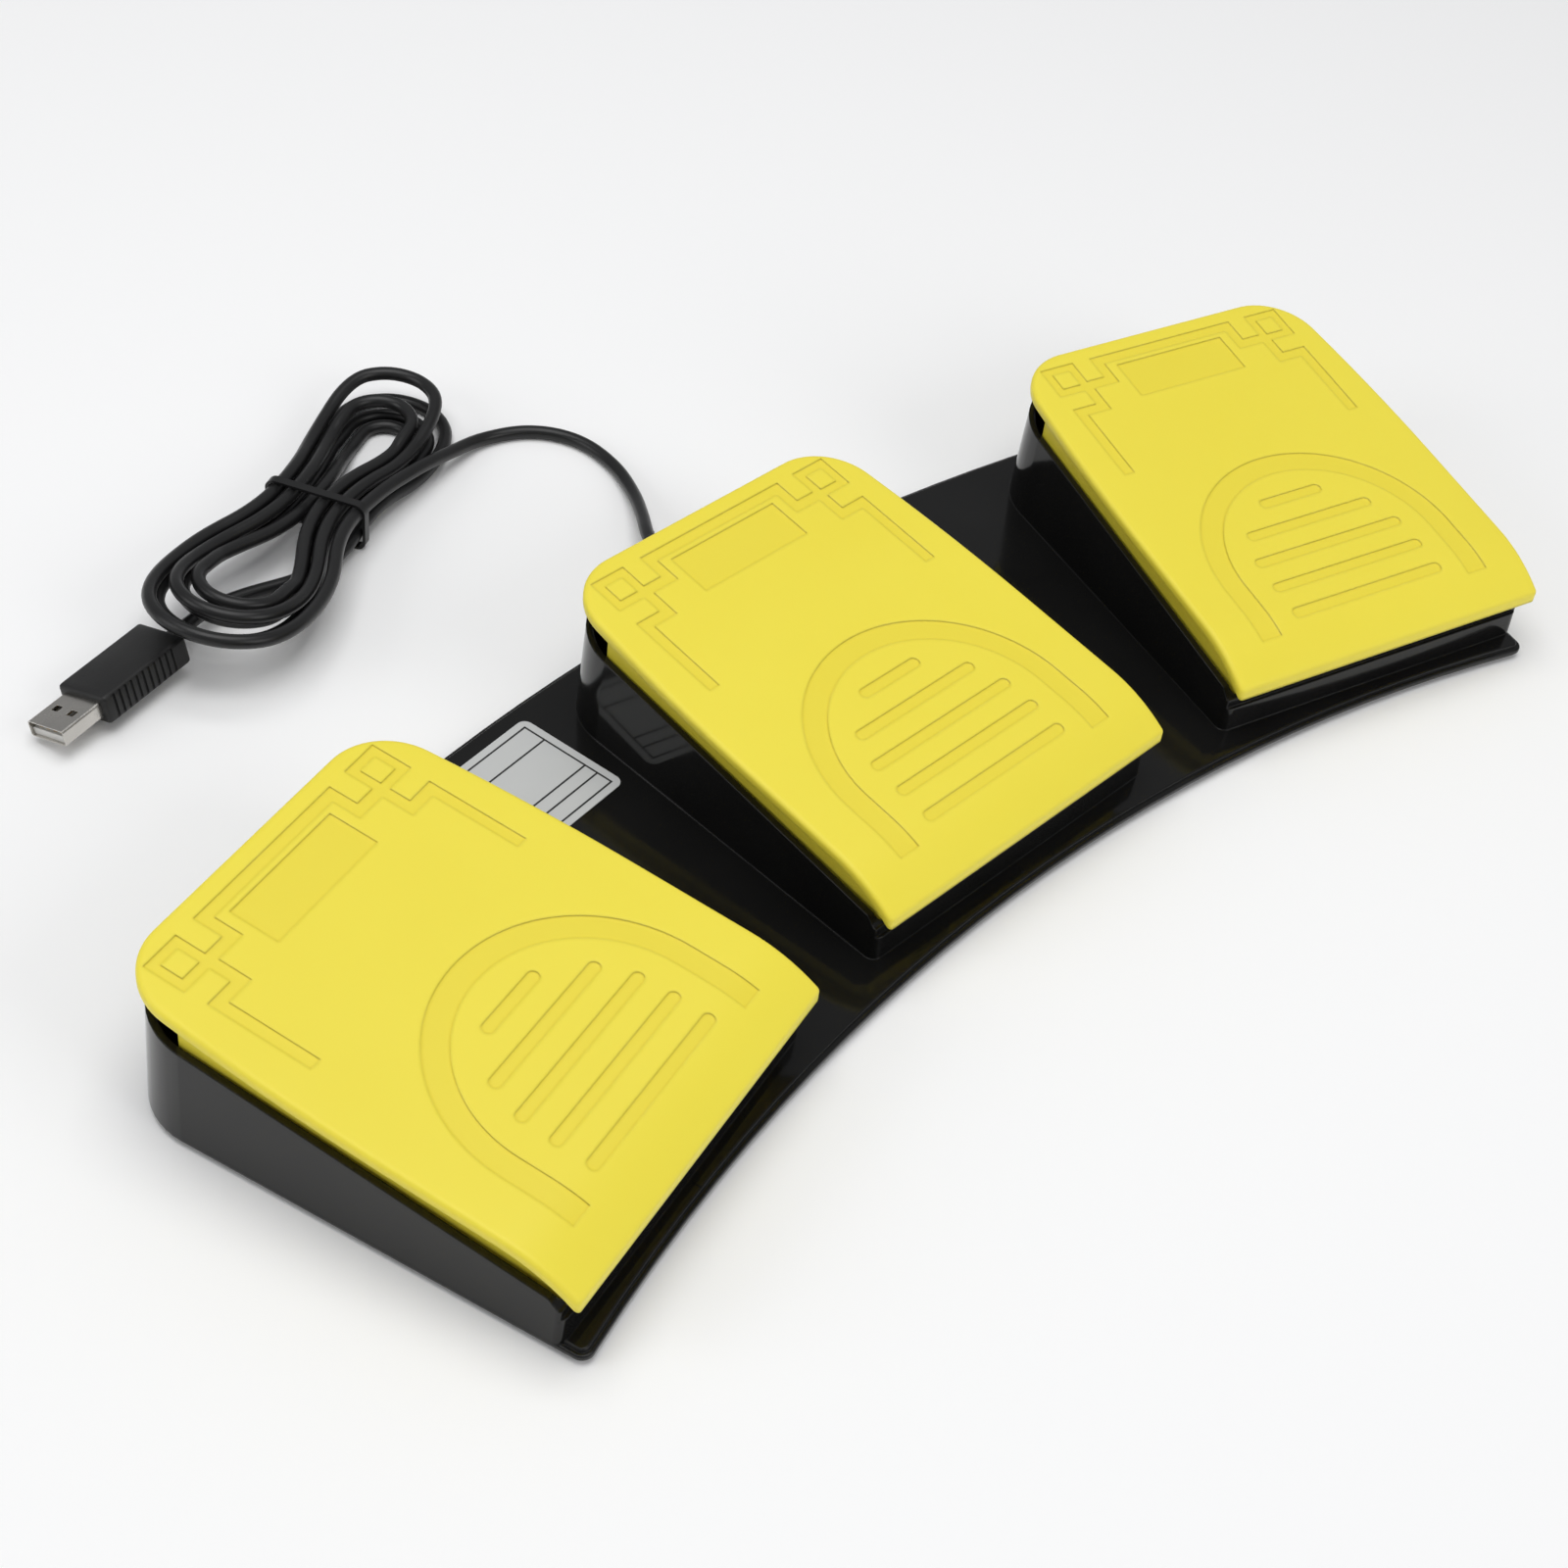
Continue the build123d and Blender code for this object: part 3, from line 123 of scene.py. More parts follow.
# What a finish holds where it names nothing else. Lengths in metres, noise scales per metre.
plainFinish = dict(
    metallic=0.0, ior=1.5, subsurface=0.0, subsurfaceRadius=(1.0, 0.8, 0.3), subsurfaceScale=0.001,
    cloudScale=25.0, cloudDetail=3.0, smudgeScale=60.0, smudgeDetail=5.0, noiseRange=(0.3, 0.7), stretch=None,
    grainScale=1500.0, grainDetail=2.0, grainStrength=0.15, grainDepth=0.0001,
    rounding=None, bevelSamples=4, paintedRecessShade=None,
    wearAndHighlight=None, wearAndHighlightRadius=0.0005, wearAndHighlightShare=0.6, wearAndHighlightScale=140.0, wearAndHighlightDetail=4.0, wearAndHighlightRange=(0.45, 0.65),
    edgeRange=(0.02, 0.25),
)
# A finish's wear colour lightens its edges: a painted highlight, together with wear.
finishes = {
    "shellBlack": dict(colour=(0.0062, 0.0062, 0.006), shade=(0.009, 0.009, 0.0088), roughness=(0.07, 0.15),
                       ior=1.35, smudgeScale=45.0, grainScale=900.0, grainStrength=0.03, rounding=0.0006,
                       wearAndHighlight=(0.035, 0.035, 0.035), wearAndHighlightRadius=0.0007, wearAndHighlightShare=0.25),
    "coverBlack": dict(colour=(0.010, 0.010, 0.010), shade=(0.016, 0.016, 0.016), roughness=(0.35, 0.5),
                       grainScale=2500.0, grainStrength=0.3),
    "pedalYellow": dict(colour=(0.885, 0.757, 0.066), shade=(0.865, 0.733, 0.060), roughness=(0.38, 0.48),
                        ior=1.42, cloudScale=14.0, smudgeScale=40.0, grainScale=2200.0, grainStrength=0.07,
                        # the relief floors' colour is painted shade, a little darker than the plate
                        subsurface=0.1, rounding=0.0012, paintedRecessShade=(0.845, 0.708, 0.055),
                        wearAndHighlight=(0.9, 0.80, 0.16), wearAndHighlightRadius=0.0008, wearAndHighlightShare=0.35),
    "labelSilver": dict(colour=(0.60, 0.61, 0.605), shade=(0.56, 0.57, 0.565), roughness=(0.35, 0.45),
                        metallic=0.1, grainScale=3000.0, grainStrength=0.08),
    "cordBlack": dict(colour=(0.008, 0.008, 0.0082), shade=(0.013, 0.013, 0.0133), roughness=(0.29, 0.4),
                      ior=1.42, smudgeScale=120.0, grainScale=2500.0, grainStrength=0.12),
    "collarBlack": dict(colour=(0.012, 0.012, 0.012), shade=(0.02, 0.02, 0.02), roughness=(0.4, 0.55),
                        grainScale=2500.0, grainStrength=0.2),
    "inkBlack": dict(colour=(0.012, 0.012, 0.012), shade=(0.02, 0.02, 0.02), roughness=(0.45, 0.55)),
    "plugBlack": dict(colour=(0.007, 0.007, 0.007), shade=(0.013, 0.013, 0.013), roughness=(0.4, 0.55),
                      ior=1.43, grainScale=1800.0, grainStrength=0.3, rounding=0.0003,
                      wearAndHighlight=(0.05, 0.05, 0.05)),
    "plugSteel": dict(colour=(0.62, 0.60, 0.56), shade=(0.52, 0.50, 0.47), roughness=(0.2, 0.32),
                      metallic=1.0, smudgeScale=160.0, grainScale=2500.0, grainStrength=0.06, rounding=0.0002),
    "plugWhite": dict(colour=(0.72, 0.71, 0.68), shade=(0.64, 0.63, 0.6), roughness=(0.4, 0.5)),
    "contactGold": dict(colour=(0.75, 0.52, 0.2), shade=(0.65, 0.44, 0.17), roughness=(0.22, 0.35),
                        metallic=1.0),
    "pinSteel": dict(colour=(0.55, 0.55, 0.56), shade=(0.45, 0.45, 0.46), roughness=(0.2, 0.35),
                     metallic=1.0, stretch=(1.0, 60.0, 60.0)),
    "springSteel": dict(colour=(0.42, 0.42, 0.43), shade=(0.32, 0.32, 0.33), roughness=(0.25, 0.4),
                        metallic=1.0),
    "screwZinc": dict(colour=(0.5, 0.5, 0.52), shade=(0.4, 0.4, 0.42), roughness=(0.3, 0.45), metallic=1.0),
    "switchBlack": dict(colour=(0.02, 0.02, 0.022), shade=(0.03, 0.03, 0.032), roughness=(0.45, 0.6),
                        rounding=0.0002),
    "plungerRed": dict(colour=(0.45, 0.03, 0.02), shade=(0.38, 0.025, 0.018), roughness=(0.35, 0.5)),
    "rubberBlack": dict(colour=(0.015, 0.015, 0.015), shade=(0.03, 0.03, 0.03), roughness=(0.65, 0.85),
                        grainScale=1200.0, grainStrength=0.4),
    "boardGreen": dict(colour=(0.01, 0.09, 0.03), shade=(0.015, 0.13, 0.045), roughness=(0.3, 0.4),
                       cloudScale=500.0),
    "chipBlack": dict(colour=(0.015, 0.015, 0.016), shade=(0.025, 0.025, 0.026), roughness=(0.4, 0.55)),
    "wireGrey": dict(colour=(0.04, 0.04, 0.045), shade=(0.06, 0.06, 0.065), roughness=(0.4, 0.5)),
}


def finish(name, own):
    values = {**plainFinish, **own}
    material = bpy.data.materials.new(name)
    material.use_nodes = True
    tree = material.node_tree
    shader = tree.nodes["Principled BSDF"]
    coords = tree.nodes.new("ShaderNodeTexCoord")
    for socket, value in (("Metallic", "metallic"), ("IOR", "ior"), ("Subsurface Weight", "subsurface"),
                          ("Subsurface Radius", "subsurfaceRadius"), ("Subsurface Scale", "subsurfaceScale")):
        shader.inputs[socket].default_value = values[value]

    cloud = noiseField(tree, coords, values["cloudScale"], values["cloudDetail"])
    clouded = spread(tree, cloud, 0.0, 1.0, *values["noiseRange"])
    colour = mixColours(tree, clouded, values["colour"], values["shade"])
    if values["paintedRecessShade"]:                                  # painted shade on the floors of the relief, from the piece's own attribute
        paintedRecessShade = tree.nodes.new("ShaderNodeAttribute")
        paintedRecessShade.attribute_name = "paintedRecessShade"
        colour = mixColours(tree, paintedRecessShade.outputs["Fac"], colour, values["paintedRecessShade"])
    # lightens edges in patches: painted highlight, with some wear
    if values["wearAndHighlight"]:
        wornAndLitEdges = edgeMask(tree, values)
        patches = noiseField(tree, coords, values["wearAndHighlightScale"], values["wearAndHighlightDetail"])
        both = tree.nodes.new("ShaderNodeMath")
        both.operation = "MULTIPLY"
        tree.links.new(wornAndLitEdges, both.inputs[0])
        tree.links.new(spread(tree, patches, 0.0, values["wearAndHighlightShare"], *values["wearAndHighlightRange"]), both.inputs[1])
        colour = mixColours(tree, both.outputs[0], colour, values["wearAndHighlight"])
    tree.links.new(colour, shader.inputs["Base Color"])

    smudge = noiseField(tree, coords, values["smudgeScale"], values["smudgeDetail"], values["stretch"])
    smudged = spread(tree, smudge, *values["roughness"], *values["noiseRange"])
    tree.links.new(smudged, shader.inputs["Roughness"])

    grain = noiseField(tree, coords, values["grainScale"], values["grainDetail"], values["stretch"])
    bump = newNode(tree, "ShaderNodeBump", Strength=values["grainStrength"], Distance=values["grainDepth"])
    tree.links.new(grain, bump.inputs["Height"])
    if values["rounding"]:
        tree.links.new(roundedNormal(tree, values["rounding"], values["bevelSamples"]), bump.inputs["Normal"])
    tree.links.new(bump.outputs["Normal"], shader.inputs["Normal"])
    return material


def dress(material, *names):
    for name in names:
        node = nodes[name]
        if not node.data.materials:
            node.data.materials.append(material)
        for slot in node.material_slots:
            slot.material = material


made = {name: finish(name, values) for name, values in finishes.items()}
dress(made["shellBlack"], "upper_shell")
dress(made["coverBlack"], "bottom_cover")
dress(made["labelSilver"], "info_label")
dress(made["cordBlack"], "inner_cord_end", "hank_tie")
dress(made["plugSteel"], "plug_shell")
dress(made["plugWhite"], "plug_tongue")
dress(made["contactGold"], "plug_contacts")
dress(made["screwZinc"], "board_screws", *(f"{side}_switch_screws" for side in sides))
dress(made["rubberBlack"], "rubber_feet", *(f"{side}_stop_pads" for side in sides))
dress(made["boardGreen"], "main_board")
dress(made["chipBlack"], "board_parts")
dress(made["pinSteel"], *(f"{side}_hinge_pin" for side in sides))
dress(made["switchBlack"], *(f"{side}_switch_body" for side in sides))
dress(made["plungerRed"], *(f"{side}_switch_plunger" for side in sides))
dress(made["wireGrey"], *(f"{side}_wire_loom" for side in sides))
print("materials done")


cameraPlace = dict(place=(-0.3938, -0.2921, 0.4735), right=(0.7037, -0.7037, 0.0979),
                   up=(0.4482, 0.5466, 0.7074), lens=61.55, sensor=36.0)


def addCamera(values):
    data = bpy.data.cameras.new("viewCamera")
    data.lens = values["lens"]
    data.sensor_width = values["sensor"]
    camera = addObject("viewCamera", data)
    right = Vector(values["right"]).normalized()
    up = Vector(values["up"])
    up = (up - right * up.dot(right)).normalized()
    turn = Matrix((right, up, right.cross(up))).transposed()
    camera.matrix_world = Matrix.Translation(values["place"]) @ turn.to_4x4()
    bpy.context.scene.camera = camera


addCamera(cameraPlace)


studio = dict(
    world=0.34, worldColour=(0.97, 0.98, 1.0),
    floorHalf=6.0, floorColour=(0.97, 0.97, 0.97), floorRoughness=0.9, floorShine=0.1,
    lamps=(
        dict(name="topLamp", place=(-0.1, 0.1, 1.45), aim=(0.0, 0.0, 0.0), size=1.2, power=12.6),
        dict(name="leftLamp", place=(-1.3, 0.7, 0.7), aim=(-0.1, 0.0, 0.0), size=0.8, power=4.0),
        dict(name="frontLamp", place=(0.3, -1.5, 0.9), aim=(0.0, 0.0, 0.0), size=1.0, power=6.5),
    ),
)


def addLamp(values):
    data = bpy.data.lights.new(values["name"], "AREA")
    data.size = values["size"]
    data.energy = values["power"]
    lamp = addObject(values["name"], data)
    lamp.location = values["place"]
    away = Vector(values["place"]) - Vector(values["aim"])
    lamp.rotation_euler = away.to_track_quat("Z", "Y").to_euler()


def addStudio(values):
    world = bpy.data.worlds.new("studioWorld")
    world.use_nodes = True
    background = world.node_tree.nodes["Background"]
    background.inputs["Color"].default_value = (*values["worldColour"], 1.0)
    background.inputs["Strength"].default_value = values["world"]
    bpy.context.scene.world = world
    bpy.context.scene.view_settings.view_transform = "Standard"      # keeps the pedals' yellow strong
    for lamp in values["lamps"]:
        addLamp(lamp)
    mesh = bpy.data.meshes.new("studioFloor")
    bm = bmesh.new()
    bmesh.ops.create_grid(bm, x_segments=1, y_segments=1, size=values["floorHalf"])
    bm.to_mesh(mesh)
    bm.free()
    floor = addObject("studioFloor", mesh)
    paint = bpy.data.materials.new("floorPale")
    paint.use_nodes = True
    shader = paint.node_tree.nodes["Principled BSDF"]
    shader.inputs["Base Color"].default_value = (*values["floorColour"], 1.0)
    shader.inputs["Roughness"].default_value = values["floorRoughness"]
    shader.inputs["Specular IOR Level"].default_value = values["floorShine"]
    mesh.materials.append(paint)


addStudio(studio)
print("camera and light done")


cordSizes = dict(diameter=3.8, lowest=1.9, smooth=8, around=5)       # mm, steps along the spline and round it
freeBends = (          # across, behind the pedal's rear edge, level, mm
    (7.0, 12.0, 10.0),
    (7.3, 19.0, 10.2),
    (10.6, 26.9, 9.0),
    (17.8, 36.3, 6.3),
    (25.4, 47.7, 3.2),
    (31.0, 61.5, 1.95),
    (30.9, 76.7, 1.95),
    (22.6, 88.7, 1.95),
    (8.5, 94.1, 1.95),
    (-4.5, 91.4, 5.0),
)
hankSizes = dict(
    across=-53.8, behind=90.9, turn=26.0,
    leftReach=41.0, rightReach=44.5, waist=2.0,
    leftHalf=21.2, rightHalf=17.6, waistHalf=12.8,
    pitch=4.65, layerPitch=4.5, loops=3,
    waistLift=5.6, nearLift=8.0, farLift=10.0,
    leftEase=11.2, rightEase=10.8, leftSlope=0.22, waistSlope=0.1,
    cornerShare=0.414, riseShare=0.3, smallFold=13.5,   # a fold's corners, of its half width, and its rise
    loose=(                                             # per fold in turn: further out, aside and up, mm
        (3.0, 0.6, 0.0), (4.0, -0.4, 0.5), (0.5, 0.0, 0.0), (-0.5, 0.0, 0.3), (0.0, 0.0, 0.0),
        (0.0, 0.0, 0.8), (0.5, 0.0, 1.6), (2.0, 0.0, 1.6), (6.5, 0.3, 3.6), (7.5, -0.6, 1.4),
    ),
)
# In the hank's own frame, mm: from the free run into the top layer, and under the waist to the plug.
hankLeaving = ((31.0, -18.2, 8.6), (12.6, -13.7, 10.7))
hankEntering = ((-14.2, -12.8, 3.05), (-39.7, 6.9, 5.8))
plugPlace = dict(across=-111.9, behind=75.2, turn=193.0, roll=14.0, width=16.0, height=8.0)


def hankRoute(sizes):
    last = 4 * sizes["loops"] - 2                       # runs from one end of the hank to the other, less one
    low = cordSizes["lowest"]

    def half(run, name):
        return sizes[name] - sizes["pitch"] / 2 * min(run, last - run)

    def layer(run, share):
        if run == last / 2:
            return low + share * sizes["layerPitch"]
        return low + (sizes["layerPitch"] if run > last / 2 else 0)

    def bends(run):
        side = 1 if run % 2 else -1
        lift = sizes["farLift"] if run % 2 else sizes["nearLift"]
        left, waist, right = (half(run, name) for name in ("leftHalf", "waistHalf", "rightHalf"))
        leftEase, rightEase = sizes["leftEase"], sizes["rightEase"]
        leftSlope, waistSlope = sizes["leftSlope"], sizes["waistSlope"]
        leftLevel, waistLevel = lift + layer(run, 1), sizes["waistLift"] + layer(run, 1 / 2)
        points = [
            (-sizes["leftReach"] + leftEase, side * left, leftLevel - leftSlope * leftEase),
            (sizes["waist"] - leftEase, side * waist, waistLevel + waistSlope * leftEase),
            (sizes["waist"] + rightEase, side * waist, waistLevel - waistSlope * rightEase),
            (sizes["rightReach"] - rightEase, side * right, layer(run, 0)),
        ]
        return points[::-1] if run % 2 else points

    def fold(run, leftEnd):
        name, reach = ("leftHalf", -sizes["leftReach"]) if leftEnd else ("rightHalf", sizes["rightReach"])
        near, far = half(run, name), half(run + 1, name)
        further, aside, up = sizes["loose"][run]
        reach += -further if leftEnd else further
        side = 1 if run % 2 else -1
        out, middle = (near + far) / 2, side * (near - far) / 2 + aside
        away = -out if leftEnd else out
        lifts = (sizes["farLift"], sizes["nearLift"]) if run % 2 else (sizes["nearLift"], sizes["farLift"])
        here = (lifts[0] + layer(run, 1) if leftEnd else layer(run, 0)) + up
        there = (lifts[1] + layer(run + 1, 1) if leftEnd else layer(run + 1, 0)) + up
        slope = sizes["leftSlope"] * out if leftEnd else 0
        corner, early = sizes["cornerShare"], sizes["riseShare"]
        points = [
            (reach - away * corner, middle + side * out, here - slope * corner),
            (reach + away * corner, middle + side * out, here + slope * corner),
            (reach + away, middle + side * out * corner, here * (1 - early) + there * early + slope),
            (reach + away, middle - side * out * corner, here * early + there * (1 - early) + slope),
            (reach + away * corner, middle - side * out, there + slope * corner),
            (reach - away * corner, middle - side * out, there - slope * corner),
        ]
        if out < sizes["smallFold"]:
            return points
        return points[1:-1]                             # a large fold starts at the run's own point

    route = []
    for run in range(last, 0, -1):
        route += bends(run)[::-1] if run < last else bends(run)[1::-1]
        route += fold(run - 1, run % 2 == 0)[::-1]
    return route + bends(0)[:1:-1]


def plugPlane(values):
    turn, roll = radians(values["turn"]), radians(values["roll"])
    level = (values["width"] * sin(roll) + values["height"] * cos(roll)) / 2
    along = Vector((cos(turn), sin(turn), 0))
    up = Vector((sin(roll) * sin(turn), -sin(roll) * cos(turn), cos(roll)))
    place = Vector((values["across"], rearEdgeY + values["behind"], level))
    return Matrix((along, up.cross(along), up)).transposed().to_4x4(), place


def cordRoute():
    hankTurn = Matrix.Rotation(radians(hankSizes["turn"]), 4, "Z")
    hankTurn.translation = Vector((hankSizes["across"], rearEdgeY + hankSizes["behind"], 0))
    route = [Vector((across, rearEdgeY + behind, level)) for across, behind, level in freeBends]
    route += [hankTurn @ Vector(point) for point in (*hankLeaving, *hankRoute(hankSizes), *hankEntering)]
    turn, place = plugPlane(plugPlace)
    along = turn @ Vector((1, 0, 0))
    route += [place - along * share * cordSizes["diameter"] for share in (1, 0)]
    return [point * mm for point in route]


def addCord(route, values):
    curve = bpy.data.curves.new("usbLead", "CURVE")
    curve.dimensions = "3D"
    curve.resolution_u = values["smooth"]
    curve.bevel_depth = values["diameter"] / 2 * mm
    curve.bevel_resolution = values["around"]
    curve.use_fill_caps = True
    spline = curve.splines.new("NURBS")
    spline.points.add(len(route) - 1)
    for point, place in zip(spline.points, route):
        point.co = (*place, 1.0)
    spline.order_u = 3
    spline.use_endpoint_u = True
    curve.materials.append(made["cordBlack"])
    lead = addObject("usbLead", curve)
    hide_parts("usb_cord", "cord_hank")
    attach(lead, "base")
    return lead


def addPiece(name, bm, material, body="base", sharp=35.0):
    bmesh.ops.recalc_face_normals(bm, faces=bm.faces)
    for face in bm.faces:
        face.smooth = True
    for edge in bm.edges:
        edge.smooth = len(edge.link_faces) == 2 and edge.calc_face_angle(0.0) < radians(sharp)
    mesh = bpy.data.meshes.new(name)
    bm.to_mesh(mesh)
    bm.free()
    mesh.materials.append(made[material])
    piece = addObject(name, mesh)
    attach(piece, body)
    return piece


sleeveSizes = dict(                                     # strain relief, mm from the wall's outer face
    taper=22.0, segments=28, insideFlange=(-3.74, -2.14), flangeRadius=5.6, neckRadius=4.2,
    collar=(0.23, 2.0), collarRadius=5.2, firstChamfer=0.4, lastChamfer=0.5,
    ribs=10, ribStart=2.4, ribStep=2.3, ribDepth=0.4, rootRadius=4.2, tipRadius=2.7,
    ribShares=((0.0, 1), (0.12, 1), (0.28, 0), (0.85, 0)),      # along a rib's step, its groove's depth there
)


def addSleeve(lead, values):
    line = lead.data.copy()                             # the cord's own spline, with no bevel
    line.bevel_depth = 0.0
    holder = bpy.data.objects.new("sleeveLine", line)
    mesh = bpy.data.meshes.new_from_object(holder)
    path = [vertex.co.copy() for vertex in mesh.vertices]
    bpy.data.objects.remove(holder)
    bpy.data.meshes.remove(mesh)
    if (path[0] - lead.data.splines[0].points[0].co.to_3d()).length > mm:
        path.reverse()
    wall = path[0].copy()
    wall.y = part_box("cord_collar")[1][1] - values["taper"] * mm

    def along(distance):
        straight = (path[0] - wall).length
        if distance <= straight:
            return wall + Vector((0, 1, 0)) * distance, Vector((0, 1, 0))
        left = distance - straight
        for here, there in zip(path, path[1:]):
            step = (there - here).length
            if left <= step:
                return here + (there - here) * left / step, (there - here).normalized()
            left -= step

    inside, outside = values["insideFlange"]
    start, end = values["collar"]
    neck, wide = values["neckRadius"], values["collarRadius"]
    first, last = values["firstChamfer"], values["lastChamfer"]
    rings = [(inside, values["flangeRadius"]), (outside, values["flangeRadius"]), (outside, neck),
             (start, neck), (start, wide - first), (start + first, wide), (end - last, wide), (end, wide - last)]
    ribbed = values["ribs"] * values["ribStep"]
    for rib in range(values["ribs"]):
        for share, depth in values["ribShares"]:
            place = (rib + share) * values["ribStep"]
            radius = values["rootRadius"] + (values["tipRadius"] - values["rootRadius"]) * place / ribbed
            rings.append((values["ribStart"] + place, radius - depth * values["ribDepth"]))
    rings.append((values["ribStart"] + ribbed, values["tipRadius"]))
    bm = bmesh.new()
    before = None
    for distance, radius in rings:
        spot, way = along(distance * mm)
        turn = way.to_track_quat("Z", "Y").to_matrix().to_4x4()
        ring = bmesh.ops.create_circle(bm, segments=values["segments"], radius=radius * mm,
                                       matrix=Matrix.Translation(spot) @ turn)
        edges = list(dict.fromkeys(edge for vertex in ring["verts"] for edge in vertex.link_edges))
        if before:
            bmesh.ops.bridge_loops(bm, edges=before + edges)
        else:
            bmesh.ops.contextual_create(bm, geom=edges)
        before = edges
    bmesh.ops.contextual_create(bm, geom=before)
    sleeve = addPiece("cordSleeve", bm, "collarBlack")
    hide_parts("cord_collar")
    return sleeve


plugSizes = dict(length=30.0, width=16.0, height=8.0, rounding=1.1, roundSteps=3,
                 ribs=11, ribStart=5.2, ribStep=2.1, groove=0.95, depth=0.55, wallNormal=0.95, inset=0.18)


def addPlugBody(values):
    bm = bmesh.new()
    block = (Matrix.Translation((values["length"] / 2, 0, 0))
             @ Matrix.Diagonal((values["length"], values["width"], values["height"], 1)))
    bmesh.ops.create_cube(bm, size=1.0, matrix=block)
    bmesh.ops.bevel(bm, geom=bm.edges[:], offset=values["rounding"], segments=values["roundSteps"],
                    profile=0.5, affect="EDGES", material=-1)
    starts = [values["ribStart"] + rib * values["ribStep"] for rib in range(values["ribs"])]
    for start in starts:
        for edge in (start, start + values["groove"]):
            bmesh.ops.bisect_plane(bm, geom=bm.verts[:] + bm.edges[:] + bm.faces[:], plane_co=(edge, 0, 0),
                                   plane_no=(1, 0, 0))
    grooves = [face for face in bm.faces if abs(face.normal.y) > values["wallNormal"]
               and any(start < face.calc_center_median().x < start + values["groove"] for start in starts)]
    bmesh.ops.inset_region(bm, faces=grooves, thickness=values["inset"], depth=-values["depth"],
                           use_even_offset=True)
    turn, place = plugPlane(plugPlace)
    bmesh.ops.transform(bm, matrix=Matrix.Scale(mm, 4) @ Matrix.Translation(place) @ turn, verts=bm.verts)
    body = addPiece("plugBody", bm, "plugBlack")
    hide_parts("plug_overmould")
    return body


usbLead = addCord(cordRoute(), cordSizes)
cordSleeve = addSleeve(usbLead, sleeveSizes)
plugBody = addPlugBody(plugSizes)
print("cord done")


reliefSizes = dict(shallow=0.2, deep=0.5, level=0.9,     # a floor's depth below the skin, and its normal
                   merge=0.001, sharp=30.0)


def readRows(items, name):
    rows = numpy.empty(len(items) * 3)
    items.foreach_get(name, rows)
    return rows.reshape(-1, 3)


def addPedalCover(side, values):
    bm = bmesh.new()
    bm.from_mesh(nodes[f"{side}_pedal"].data)
    bmesh.ops.remove_doubles(bm, verts=bm.verts, dist=values["merge"] * mm)
    cover = addPiece(f"{side}PedalCover", bm, "pedalYellow", f"{side}_pedal_body",
                     values["sharp"])
    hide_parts(f"{side}_pedal")
    mesh = cover.data
    mesh.attributes.remove(mesh.attributes["custom_normal"])     # the loose triangles' own shading
    even = cover.modifiers.new("evenShading", "WEIGHTED_NORMAL")
    even.keep_sharp = True

    turn = radians(rowTurn[side])
    centre, away = (0.0, arcCentreY, 0.0), numpy.array((-sin(turn), cos(turn), 0.0))
    spots = readRows(mesh.vertices, "co") / mm
    skin = []                                           # upper hull of the plate's side view, nose to rear
    for place, level in sorted(zip((spots - centre) @ away, spots[:, 2])):
        while len(skin) > 1 and ((skin[-1][0] - skin[-2][0]) * (level - skin[-2][1])
                                 >= (skin[-1][1] - skin[-2][1]) * (place - skin[-2][0])):
            skin.pop()
        skin.append((place, level))
    places, levels = zip(*skin)
    spots = readRows(mesh.polygons, "center") / mm
    depth = numpy.interp((spots - centre) @ away, places, levels) - spots[:, 2]
    upward = readRows(mesh.polygons, "normal")[:, 2]
    floors = (depth > values["shallow"]) & (depth < values["deep"]) & (upward > values["level"])
    # faces on the relief's floors, which the yellow finish darkens as painted shade
    paintedRecessShade = mesh.attributes.new("paintedRecessShade", "FLOAT", "FACE")
    paintedRecessShade.data.foreach_set("value", floors.astype(float))
    print(f"{side} pedal cover done, {int(floors.sum())} faces in its relief")


for side in sides:
    addPedalCover(side, reliefSizes)


springSizes = dict(wire=1.2, turns=6.6, closed=0.8,      # closed turns at each end, among the turns
                   steps=28, around=10, sharp=60.0,
                   travel=3.35)                         # how far the pedal's pad comes down on the spring, mm


def addReturnSpring(side, values):
    low, high = (Vector(corner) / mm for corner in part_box(f"{side}_return_spring"))
    centre, thick = (low + high) / 2, values["wire"] / 2
    coil = (high.x - low.x) / 2 - thick
    turns, closed = values["turns"], values["closed"]
    openPitch = (high.z - low.z - values["wire"] * (1 + 2 * closed)) / (turns - 2 * closed)
    bends = [2 * pi * corner / values["around"] for corner in range(values["around"])]
    bm = bmesh.new()
    last = None
    steps = int(turns * values["steps"])
    for step in range(steps + 1):
        turned = turns * step / steps
        shut = min(turned, closed) + max(turned - turns + closed, 0.0)
        level = low.z + thick + shut * values["wire"] + (turned - shut) * openPitch
        angle = turned * 2 * pi
        outward = Vector((cos(angle), sin(angle), 0))
        spot = Vector((centre.x, centre.y, level)) + outward * coil
        ring = [bm.verts.new((spot + (outward * cos(bend) + Vector((0, 0, 1)) * sin(bend)) * thick) * mm)
                for bend in bends]
        if last:
            for corner in range(len(ring)):
                bm.faces.new((last[corner - 1], last[corner], ring[corner], ring[corner - 1]))
        else:
            bm.faces.new(ring)
        last = ring
    bm.faces.new(last)
    spring = addPiece(f"{side}ReturnSpring", bm, "springSteel", sharp=values["sharp"])
    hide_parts(f"{side}_return_spring")
    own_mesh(spring)


for side in sides:
    addReturnSpring(side, springSizes)
print("return springs done")


labelRules = dict(across=41.9, radial=33.0, radius=571.6, turn=7.8, inset=2.3, line=0.52, height=0.03,
                  rowShares=(0.23, 0.7, 0.84))          # where the rules between the rows lie, rear to front


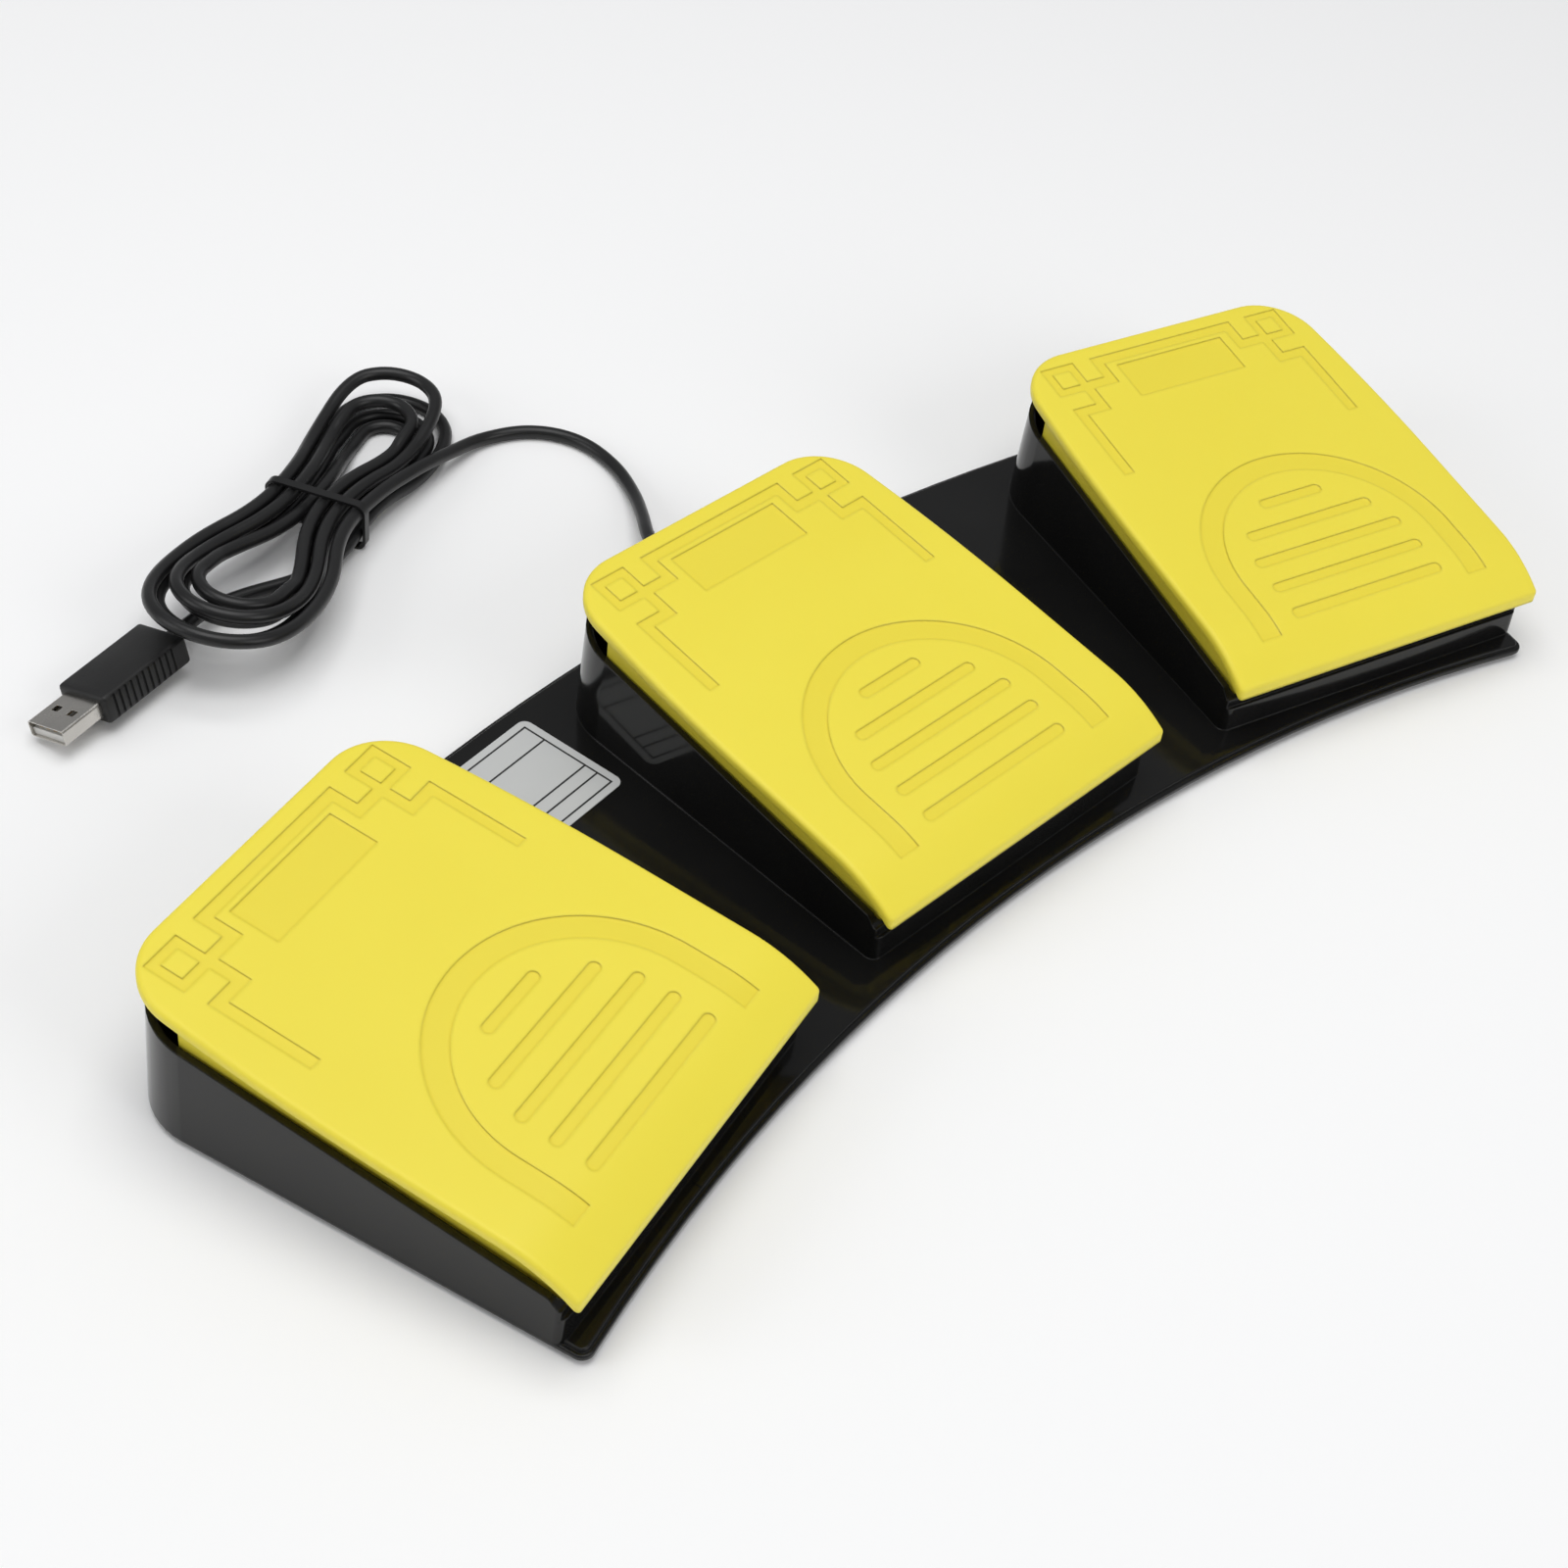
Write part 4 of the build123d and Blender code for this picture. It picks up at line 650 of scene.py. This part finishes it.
def addLabelRules(values):
    bm = bmesh.new()
    line = values["line"]
    halfAcross = values["across"] / 2 - values["inset"]
    halfRadial = values["radial"] / 2 - values["inset"]
    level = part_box("info_label")[1][2] / mm + values["height"] / 2
    bars = [(0, halfRadial * (1 - 2 * share), 2 * halfAcross, line) for share in (0, *values["rowShares"], 1)]
    bars += [(side * halfAcross, 0, line, 2 * halfRadial + line) for side in (-1, 1)]
    place = rowPlace(values["turn"], 0, values["radius"], level)
    for across, behind, width, length in bars:
        bar = Matrix.Translation((across, behind, 0)) @ Matrix.Diagonal((width, length, values["height"], 1))
        bmesh.ops.create_cube(bm, size=1.0, matrix=place @ bar)
    addPiece("labelRules", bm, "inkBlack")
    print("label rules done")


addLabelRules(labelRules)


screwSizes = dict(head=2.7, headHeight=0.8, headSides=24, shank=1.3, shankSides=16, rounding=0.25,
                  roundSteps=2, recess=1.55, slot=0.32, depth=0.5, draft=0.06, insideShare=0.9,
                  across=40.0, places=(27.0, 106.0), turn=37)    # each pedal's four screws, mm, degrees


def addCoverScrews(values):
    low, high = (corner[2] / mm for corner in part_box("cover_screws"))
    screw = bmesh.new()
    head, length, inside = values["headHeight"], high - low, values["insideShare"]
    bmesh.ops.create_cone(screw, cap_ends=True, segments=values["headSides"], radius1=values["head"],
                          radius2=values["head"], depth=head, matrix=Matrix.Translation((0, 0, head / 2)))
    rim = [edge for edge in screw.edges if all(vertex.co.z < head / 2 for vertex in edge.verts)]
    bmesh.ops.bevel(screw, geom=rim, offset=values["rounding"], segments=values["roundSteps"],
                    profile=0.5, affect="EDGES", material=-1)
    underside = [face for face in screw.faces
                 if face.normal.z < -inside and len(face.verts) == values["headSides"]]
    bmesh.ops.inset_region(screw, faces=underside,
                           thickness=values["head"] - values["rounding"] - values["recess"])

    def cells():
        return [face for face in screw.faces if face.normal.z < -inside
                and face.calc_center_median().xy.length < values["recess"] * inside]

    for axis in ((1, 0, 0), (0, 1, 0)):
        for side in (-1, 1):
            faces = cells()
            around = list(dict.fromkeys(part for face in faces for part in (*face.verts, *face.edges)))
            bmesh.ops.bisect_plane(screw, geom=faces + around, plane_co=Vector(axis) * side * values["slot"],
                                   plane_no=axis)
    cross = [face for face in cells() if min(abs(part) for part in face.calc_center_median().xy)
             < values["slot"] * inside]
    bmesh.ops.inset_region(screw, faces=cross, thickness=values["draft"], depth=-values["depth"])
    bmesh.ops.create_cone(screw, cap_ends=True, segments=values["shankSides"], radius1=values["shank"],
                          radius2=values["shank"], depth=length - head,
                          matrix=Matrix.Translation((0, 0, (length + head) / 2)))
    single = bpy.data.meshes.new("coverScrew")
    screw.to_mesh(single)
    screw.free()
    bm = bmesh.new()
    spots = [(rowTurn[side], way * values["across"], rowRadius - place) for side in sides for way in (-1, 1)
             for place in values["places"]]
    for number, (turn, across, radius) in enumerate(spots):
        old = len(bm.verts)
        bm.from_mesh(single)
        spot = rowPlace(turn, across, radius, low) @ Matrix.Rotation(radians(values["turn"] * number), 4, "Z")
        bmesh.ops.transform(bm, matrix=spot, verts=bm.verts[old:])
    bpy.data.meshes.remove(single)
    screws = addPiece("coverScrews", bm, "screwZinc")
    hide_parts("cover_screws")
    print("cover screws done")


addCoverScrews(screwSizes)


pedalNumbers = dict(fontSize=3.64, raised=0.12, sink=0.05, place=119.2,    # mm, from the pedal's rear edge
                    words=dict(left="1", middle="2", right="3"))


def addNumbers(values):
    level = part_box("info_label")[0][2] / mm              # the deck's top
    raised, sink = values["raised"], values["sink"]
    for side in sides:
        text = bpy.data.curves.new(f"{side}Number", "FONT")
        text.body = values["words"][side]
        text.size = values["fontSize"]
        text.extrude = (raised + sink) / 2
        text.align_x = "CENTER"
        text.align_y = "CENTER"
        holder = bpy.data.objects.new(f"{side}NumberText", text)
        mesh = bpy.data.meshes.new_from_object(holder)
        bpy.data.objects.remove(holder)
        mesh.transform(rowPlace(rowTurn[side], 0, rowRadius - values["place"], level + (raised - sink) / 2))
        mesh.materials.clear()
        mesh.materials.append(made["shellBlack"])
        number = addObject(f"{side}Number", mesh)
        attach(number, "base")
    print("numbers done")


addNumbers(pedalNumbers)
